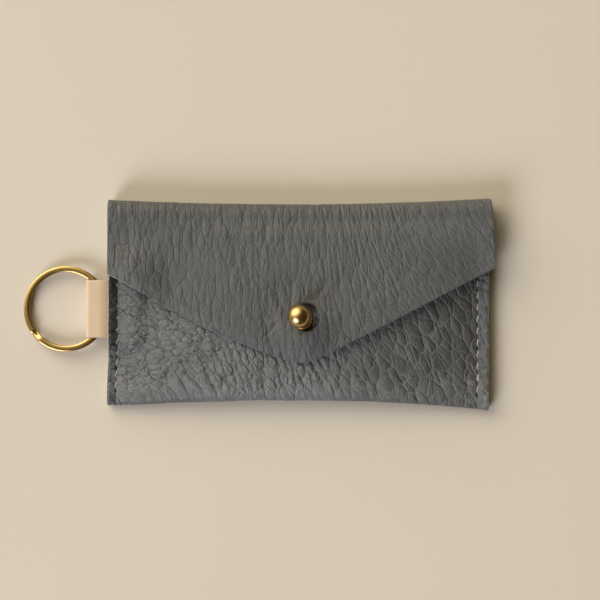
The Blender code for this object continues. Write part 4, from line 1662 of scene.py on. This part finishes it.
@dataclass
class SplitRing:
    """Polished flat wire wound twice round, with a step where it passes from one turn to the next."""

    shape: RingShape
    steps: int = 150
    sides: int = 28
    squareness: float = 2.6
    end_ease: float = 0.25
    end_share: float = 0.35
    sharp_deg: float = 50.0

    def build(self, brass: Material) -> None:
        """Make and dress the ring.

        The wire's middle is a circle. It climbs by one pitch over the step, along the smooth step. Its
        section is a superellipse, and each end is eased off.

        Args:
            brass: The finish.
        """
        shape = self.shape
        step = math.radians(shape.step_deg)
        turn = np.linspace(0, 4 * math.pi - step, 2 * self.steps)
        climb = smooth((turn - (2 * math.pi - step)) / step)
        angle = turn + math.radians(shape.heading_deg)
        radius = shape.radius - shape.wire_width / 2
        outward = np.stack([np.cos(angle), np.sin(angle), np.zeros_like(angle)], axis=1)
        pitch = shape.wire_thickness + shape.coil_gap
        path = outward * radius
        path[:, 2] = pitch * (climb - 0.5)
        about = np.linspace(0, 2 * math.pi, self.sides, endpoint=False)
        power = 2 / self.squareness
        wide, tall = rounded(np.cos(about), power), rounded(np.sin(about), power)
        from_end = np.minimum(turn, turn[-1] - turn) * radius
        ease = np.sqrt(np.clip(from_end / self.end_ease, self.end_share, 1))[:, None, None]
        across = outward[:, None, :] * (wide * shape.wire_width / 2)[None, :, None] * ease
        up = np.zeros_like(across)
        up[..., 2] = (tall * shape.wire_thickness / 2)[None, :] * ease[..., 0]
        obj = swept("key_ring_wire", path, across, up)
        points = np.empty(3 * len(obj.data.vertices))
        obj.data.vertices.foreach_get("co", points)
        points = points.reshape(-1, 3) / METRE
        x, z = shape.lift(points[:, 0], points[:, 2])
        points = np.stack([x, points[:, 1] + shape.y, z], axis=1) * METRE
        obj.data.vertices.foreach_set("co", points.ravel())
        obj.data.set_sharp_from_angle(angle=math.radians(self.sharp_deg))
        dress(obj, brass)
        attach(obj, "key_ring")
        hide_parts("split_ring")
        report(obj)


@dataclass
class KeyTab:
    """One strip of pale leather: a tail in the seam, out and round the ring, and a tail back in."""

    ring: RingShape
    pocket: PocketShape
    thickness: float = 0.7
    layer_offset: float = 1.445
    fold_along: float = 6.3
    fold_round: float = 0.95
    root_x: float = -55.5
    tail_end: float = -49.7
    kink_x: float = -53.425
    lower_z: float = 1.95
    upper_z: float = 2.9
    bulge: float = 0.04
    bend_from_x: float = -54.2
    bend_to_x: float = -57.6
    # Where the painted shadow of the pocket crosses the strip.
    pocket_shadow_x: float = -56.6
    end_inset: float = 0.1
    path_step: float = 0.05
    rows: int = 150
    columns: int = 84

    def path(self) -> Array:
        """The strip's middle line in x and z, from the end of its upper tail to that of its lower.

        Returns:
            Even points along the rounded line.
        """
        ring = self.ring
        root = (self.root_x - ring.x) / math.cos(math.radians(ring.tilt_deg))
        level = self.layer_offset - self.fold_round
        centre = self.fold_along + self.fold_round
        turn = np.linspace(0, math.pi / 2, 9)
        over_x = centre - self.fold_round * np.sin(turn)
        over_off = level + self.fold_round * np.cos(turn)
        along = np.concatenate([[root], over_x, over_x[::-1], [root]])
        off = np.concatenate([[self.layer_offset], over_off, -over_off[::-1], [-self.layer_offset]])
        x, z = ring.lift(along, off)
        upper = np.array([[self.tail_end, self.upper_z], [self.kink_x, self.upper_z]])
        lower = np.array([[self.kink_x, self.lower_z], [self.tail_end, self.lower_z]])
        whole = np.concatenate([upper, np.stack([x, z], axis=1), lower])
        return resample(whole, self.path_step, 3)

    def build(self, face: Material, cut: Material) -> None:
        """Make and dress the strip.

        Args:
            face: The outside and the inside.
            cut: The cut edge.
        """
        line = self.path()
        run = running_length(line)

        def place(y: Array, s: Array) -> Array:
            """A point of the strip: y across it, s along its line."""
            return np.stack([np.interp(s, run, line[:, 0]), y, np.interp(s, run, line[:, 1])], axis=-1)

        half = self.pocket.tab_width / 2
        y = self.pocket.tab_y + np.linspace(-half, half, self.columns + 1)
        s = np.linspace(self.end_inset, run[-1] - self.end_inset, self.rows + 1)
        sites = np.stack(np.meshgrid(y, s), axis=-1)

        def relief(y: Array, s: Array) -> dict[str, Array]:
            """Height and marks at places on the strip.

            Args:
                y: Places across the strip.
                s: Places along its line.

            Returns:
                A faint ripple with rounded edges, and a painted shadow across the strip beside the pocket.
            """
            rim = half - np.abs(y - self.pocket.tab_y)
            height = 0.012 * ripple(y / 2.2, s / 2.2, 71) - 0.12 * (1 - smooth(rim / 0.4))
            pocket_shadow_share = 0.7 * bell(np.interp(s, run, line[:, 0]) - self.pocket_shadow_x, 1.1)
            return {"height": height, "shadow_stain": pocket_shadow_share}

        strip = Hide("key_tab_strip", place, self.thickness, self.bulge)
        obj = strip.build(sites, None, relief)
        dress(obj, face, face, cut)
        y, z = self.pocket.tab_y * METRE, self.ring.z * METRE
        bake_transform(obj)
        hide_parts("key_tab_loop", "key_tab_lower_tail", "key_tab_upper_tail")
        report(obj)


@dataclass
class BallStud:
    """The ball stud's turned head, and the slotted screw that holds it from inside the pocket."""

    shape: PocketShape
    ball: float = 3.4
    neck: float = 1.7
    neck_length: float = 2.2
    sweep: float = 0.9
    flange: float = 3.0
    flange_thickness: float = 0.9
    lip: float = 0.3
    chamfer: float = 0.08
    seat: float = 0.6
    shank: float = 1.3
    clearance: float = 0.3
    grip: float = 2.2
    screw_head: float = 3.8
    screw_thickness: float = 1.1
    screw_seat: float = 0.3
    screw_round: float = 0.28
    screw_chamfer: float = 0.1
    shank_chamfer: float = 0.15
    slot_width: float = 1.0
    slot_depth: float = 0.5
    sides: int = 96
    sharp_deg: float = 40.0

    def frame(self) -> Matrix:
        """The stud's own frame.

        Returns:
            Its origin on the front's outer face, and +Z along its leaning axis.
        """
        x, y = self.shape.stud_x, self.shape.stud_y
        z = float(self.shape.front_middle(np.array([x]), np.array([y]))[0]) + self.shape.leather / 2
        heading = math.radians(self.shape.stud_heading_deg)
        axis = (-math.sin(heading), math.cos(heading), 0)
        lean = Matrix.Rotation(math.radians(self.shape.stud_lean_deg), 4, axis)
        return Matrix.Translation((x, y, z)) @ lean

    def head_profile(self) -> Array:
        """The head, from its top round the ball, down the neck and flange, and up its bore.

        Returns:
            Radius and height of each point. The neck's fillet and the flange's lip are quarter circles.
        """
        neck_angle = math.asin(self.neck / self.ball)
        flange_top = self.seat + self.flange_thickness
        ball_z = flange_top + self.neck_length + self.ball * math.cos(neck_angle)
        bore, bore_top = self.shank + self.clearance / 2, self.seat + self.grip + self.clearance
        angle = np.linspace(0, math.pi - neck_angle, 48)
        ball = [self.ball * np.sin(angle), ball_z + self.ball * np.cos(angle)]
        ease = np.linspace(0, math.pi / 2, 7)[1:]
        fillet = [self.neck + self.sweep * (1 - np.cos(ease)), flange_top + self.sweep * (1 - np.sin(ease))]
        inner = self.flange - self.lip
        lip = [inner + self.lip * np.sin(ease), flange_top - self.lip + self.lip * np.cos(ease)]
        foot = [[self.flange, self.seat + self.chamfer], [self.flange - self.chamfer, self.seat]]
        inside = [[bore, self.seat], [bore, bore_top], [0, bore_top]]
        upper = np.concatenate([np.stack(ball, axis=1), np.stack(fillet, axis=1), [[inner, flange_top]]])
        return np.concatenate([upper, np.stack(lip, axis=1), foot, inside])

    def screw_profile(self) -> Array:
        """The screw, from the top of its shank to the face of its head.

        Returns:
            Radius and height of each point. The head's outer corner is a quarter circle.
        """
        top, chamfer = self.seat + self.grip, self.shank_chamfer
        head_top, bottom = -self.shape.leather - self.screw_seat, self.screw_face()
        ease = np.linspace(0, math.pi / 2, 7)
        radius = self.screw_round
        corner = [self.screw_head - radius + radius * np.cos(ease), bottom + radius - radius * np.sin(ease)]
        shank = [[0, top], [self.shank - chamfer, top], [self.shank, top - chamfer], [self.shank, head_top]]
        rim = self.screw_chamfer
        head = [[self.screw_head - rim, head_top], [self.screw_head, head_top - rim]]
        return np.concatenate([shank, head, np.stack(corner, axis=1), [[0, bottom]]])

    def screw_face(self) -> float:
        """Height of the face of the screw's head, in the stud's frame."""
        return -self.shape.leather - self.screw_seat - self.screw_thickness

    def build(self, brass: Material) -> None:
        """Make and dress the head and the screw.

        Args:
            brass: The finish of both.
        """
        head = turned_piece("stud_ball_head", self.head_profile(), self.sides, self.frame())
        screw = turned_piece("stud_slotted_screw", self.screw_profile(), self.sides, self.frame())
        self.cut_slot(screw)
        for obj, node in ((head, "stud_head"), (screw, "stud_screw")):
            obj.data.set_sharp_from_angle(angle=math.radians(self.sharp_deg))
            dress(obj, brass)
            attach(obj, "pocket")
            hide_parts(node)
            report(obj)

    def cut_slot(self, screw: bpy.types.Object) -> None:
        """Cut the driver's slot across the screw's face and keep the result as its mesh.

        Args:
            screw: The screw.
        """
        signs = np.array([[x, y, z] for x in (-1, 1) for y in (-1, 1) for z in (-1, 1)], dtype=float)
        corners = signs * [self.screw_head + 1, self.slot_width / 2, self.slot_depth]
        corners = corners + [0, 0, self.screw_face()]
        frame = np.array(self.frame())
        faces = [[0, 1, 3, 2], [4, 6, 7, 5], [0, 4, 5, 1], [2, 3, 7, 6], [0, 2, 6, 4], [1, 5, 7, 3]]
        tool = mesh_object("slot_tool", corners @ frame[:3, :3].T + frame[:3, 3], faces)
        modifier = screw.modifiers.new("slot", "BOOLEAN")
        modifier.operation = "DIFFERENCE"
        modifier.solver = "EXACT"
        modifier.object = tool
        graph = bpy.context.evaluated_depsgraph_get()
        done = bpy.data.meshes.new_from_object(screw.evaluated_get(graph))
        screw.modifiers.clear()
        screw.data = done
        bpy.data.objects.remove(tool, do_unlink=True)


@dataclass
class SeamThread:
    """One two-ply thread sewn up a seam and down again."""

    plan: SeamPlan
    wrap: PocketWrap
    radius: float = 0.2
    strand: float = 0.22
    proud: float = 0.1
    sunk: float = 0.34
    spacing: float = 0.11
    sides: int = 10
    ply_pitch: float = 1.3
    hole_depth: float = 0.6
    arch_power: float = 1.6
    doubled_shift: float = 0.4
    lobe: float = 0.14
    ply_shade_strength: float = 0.7

    def on_face(self, x: Array, s: Array, off: Array) -> Array:
        """Points off the hide's outer face, along its normal."""
        normal = facing(self.wrap.place, x, s)
        return self.wrap.place(x, s) + normal * (self.wrap.shape.leather / 2 + off)[:, None]

    def stitch(self, gap: int, front: bool, upward: bool, shift: float = 0) -> Array:
        """One stitch between two holes, from low to high or back.

        Its offset from the face rises out of the first hole and sinks into the next one along a power
        of half a sine wave.

        Args:
            gap: Number of the lower hole.
            front: On the front, or in the groove of the back.
            upward: Which way it is sewn.
            shift: How far it is laid to the side.

        Returns:
            Points along it.
        """
        share = np.linspace(0, 1, 15)
        low, high = self.plan.x + self.strand, self.plan.x - self.strand
        if not front:
            low, high = high, low
        x = low + (high - low) * share + shift
        y = self.plan.first_y + self.plan.pitch * (gap + share)
        arch = np.sin(math.pi * share) ** self.arch_power
        crest = self.proud if front else -self.sunk
        off = (self.hole_depth + crest) * arch - self.hole_depth
        points = self.on_face(x, y if front else self.wrap.back_s(x, y), off)
        return points if upward else points[::-1]

    def route(self) -> Array:
        """The whole thread: front and back stitches by turns, up the seam and down between them.

        Returns:
            Even points along it. A doubled gap is sewn over once more, to the side.
        """
        last = self.plan.count - 1
        runs = [self.stitch(gap, gap % 2 == 0, True) for gap in range(last)]
        runs += [self.stitch(gap, gap % 2 == 1, False) for gap in reversed(range(last))]
        if self.plan.doubled_gap >= 0:
            runs.append(self.stitch(0, False, True))
            runs.append(self.stitch(self.plan.doubled_gap, True, True, self.doubled_shift))
        return resample(np.concatenate(runs), self.spacing, 1)

    def build(self, finish: Material, node: str) -> None:
        """Make and dress the thread.

        Its section has two lobes that turn along it: the radius less a lobe's share, plus that share
        of the cosine of twice the angle from the twist.

        Args:
            finish: The thread's finish.
            node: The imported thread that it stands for.
        """
        path = self.route()
        along = np.gradient(path, axis=0)
        along = along / np.linalg.norm(along, axis=1, keepdims=True)
        side = np.cross(along, np.array([1.0, 0.0, 0.0]))
        side = side / np.linalg.norm(side, axis=1, keepdims=True)
        over = np.cross(along, side)
        about = np.linspace(0, 2 * math.pi, self.sides, endpoint=False)
        twist = about[None, :] - 2 * math.pi * running_length(path)[:, None] / self.ply_pitch
        reach = self.radius * (1 - self.lobe + self.lobe * np.cos(2 * twist))
        across = side[:, None, :] * (reach * np.cos(about))[..., None]
        up = over[:, None, :] * (reach * np.sin(about))[..., None]
        obj = swept(f"{self.plan.name}_stitching", path, across, up)
        # Painted shade where the section narrows between its two lobes.
        ply = smooth(-np.cos(2 * twist)) * self.ply_shade_strength
        paint(obj, "ply", np.concatenate([ply.ravel(), [0, 0]]))
        dress(obj, finish)
        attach(obj, "pocket")
        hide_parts(node)
        report(obj)


@dataclass(frozen=True)
class Studio:
    """Floor, camera and lamps. The key light comes low from the lower left of the picture."""

    floor_half: float = 1500.0
    floor_z: float = -0.03
    camera_place: tuple[float, float, float] = (0.00029, 0.00067, 0.6)
    camera_lens: float = 123.2
    key_azimuth_deg: float = 231.0
    key_elevation_deg: float = 32.5
    key_angle_deg: float = 33.0
    key_share: Colour = (0.342, 0.348, 0.375)
    fill_side: tuple[float, float, float] = (-0.618, 0.663, 0.423)
    fill_power: float = 6.0
    fill_dim: Colour = (0.05, 0.033, 0.01)
    fill_bright: Colour = (5.5, 5.12, 4.2)

    def build(self) -> None:
        """Set the floor, the camera and the lamps, and the plain view transform.

        The key's strength is pi times its share of a level of 1 on the floor, over the sine of its
        elevation.
        """
        corners = np.array([[-1, -1], [1, -1], [1, 1], [-1, 1]]) * self.floor_half
        corners = np.pad(corners, ((0, 0), (0, 1)), constant_values=self.floor_z)
        floor = mesh_object("studio_floor", corners, [[0, 1, 2, 3]])
        dress(floor, FloorFinish().make())
        scene = bpy.context.scene
        camera = bpy.data.cameras.new("overhead_camera")
        camera.sensor_fit = "HORIZONTAL"
        camera.sensor_width = 36
        camera.lens = self.camera_lens
        camera.clip_start = 0.01
        view = bpy.data.objects.new("overhead_camera", camera)
        view.location = self.camera_place
        scene.collection.objects.link(view)
        scene.camera = view
        azimuth, elevation = math.radians(self.key_azimuth_deg), math.radians(self.key_elevation_deg)
        lamp = bpy.data.lights.new("key_light", "SUN")
        lamp.angle = math.radians(self.key_angle_deg)
        strongest = max(self.key_share)
        lamp.color = [level / strongest for level in self.key_share]
        lamp.energy = math.pi * strongest / math.sin(elevation)
        key = bpy.data.objects.new("key_light", lamp)
        key.rotation_euler = (math.pi / 2 - elevation, 0, azimuth + math.pi / 2)
        scene.collection.objects.link(key)
        world = bpy.data.worlds.new("soft_fill")
        world.use_nodes = True
        self.fill_world(world.node_tree)
        scene.world = world
        scene.view_settings.view_transform = "Standard"

    def fill_world(self, tree: bpy.types.NodeTree) -> None:
        """Light the world from one broad side.

        The colour goes from dim to bright with a power of the cosine of the angle from that side.

        Args:
            tree: The world's nodes.
        """
        nodes = Nodes(tree)
        length = math.sqrt(sum(value * value for value in self.fill_side))
        side = [value / length for value in self.fill_side]
        around = nodes.node("TexCoord", "Generated", {})
        cosine = nodes.node("VectorMath", "Value", {0: around, 1: side}, operation="DOT_PRODUCT")
        share = nodes.sum("POWER", nodes.larger(cosine, 0), self.fill_power)
        strongest = max(self.fill_bright)
        dim = [level / strongest for level in self.fill_dim]
        bright = [level / strongest for level in self.fill_bright]
        background = tree.nodes["Background"]
        nodes.plug(nodes.blend(share, dim, bright), background.inputs["Color"])
        nodes.plug(strongest, background.inputs["Strength"])


def main() -> None:
    """Build every piece in order, and hide the imported pieces that they stand for."""
    logging.basicConfig(level=logging.INFO, format="%(message)s", stream=sys.stdout)
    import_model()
    Studio().build()
    shape = PocketShape()
    ring = RingShape()
    left = SeamPlan("left_seam", shape.seam_left, -25.7, 3.26)
    right = SeamPlan("right_seam", shape.seam_right, -27.1, 3.42, doubled_gap=1)
    grain, flesh = GrainFinish().make(), FleshFinish().make()
    cut = CutFinish("hide_cut_edge", (0.18, 0.162, 0.128), (0.32, 0.288, 0.228)).make()
    LeatherHolder(shape, (left, right)).build(grain, flesh, cut)
    tab_cut = CutFinish("tab_cut_edge", (0.6, 0.45, 0.31), (0.72, 0.58, 0.43)).make()
    KeyTab(ring, shape).build(TabFinish().make(), tab_cut)
    SplitRing(ring).build(BrassFinish("ring_brass", (0.54, 0.37, 0.14), roughness=0.25).make())
    BallStud(shape).build(BrassFinish("stud_brass", (0.58, 0.41, 0.18), roughness=0.28).make())
    thread = ThreadFinish().make()
    wrap = PocketWrap(shape)
    for plan in (left, right):
        SeamThread(plan, wrap).build(thread, f"{plan.name}_thread")
    bpy.context.view_layer.update()


if __name__ == "__main__":
    main()
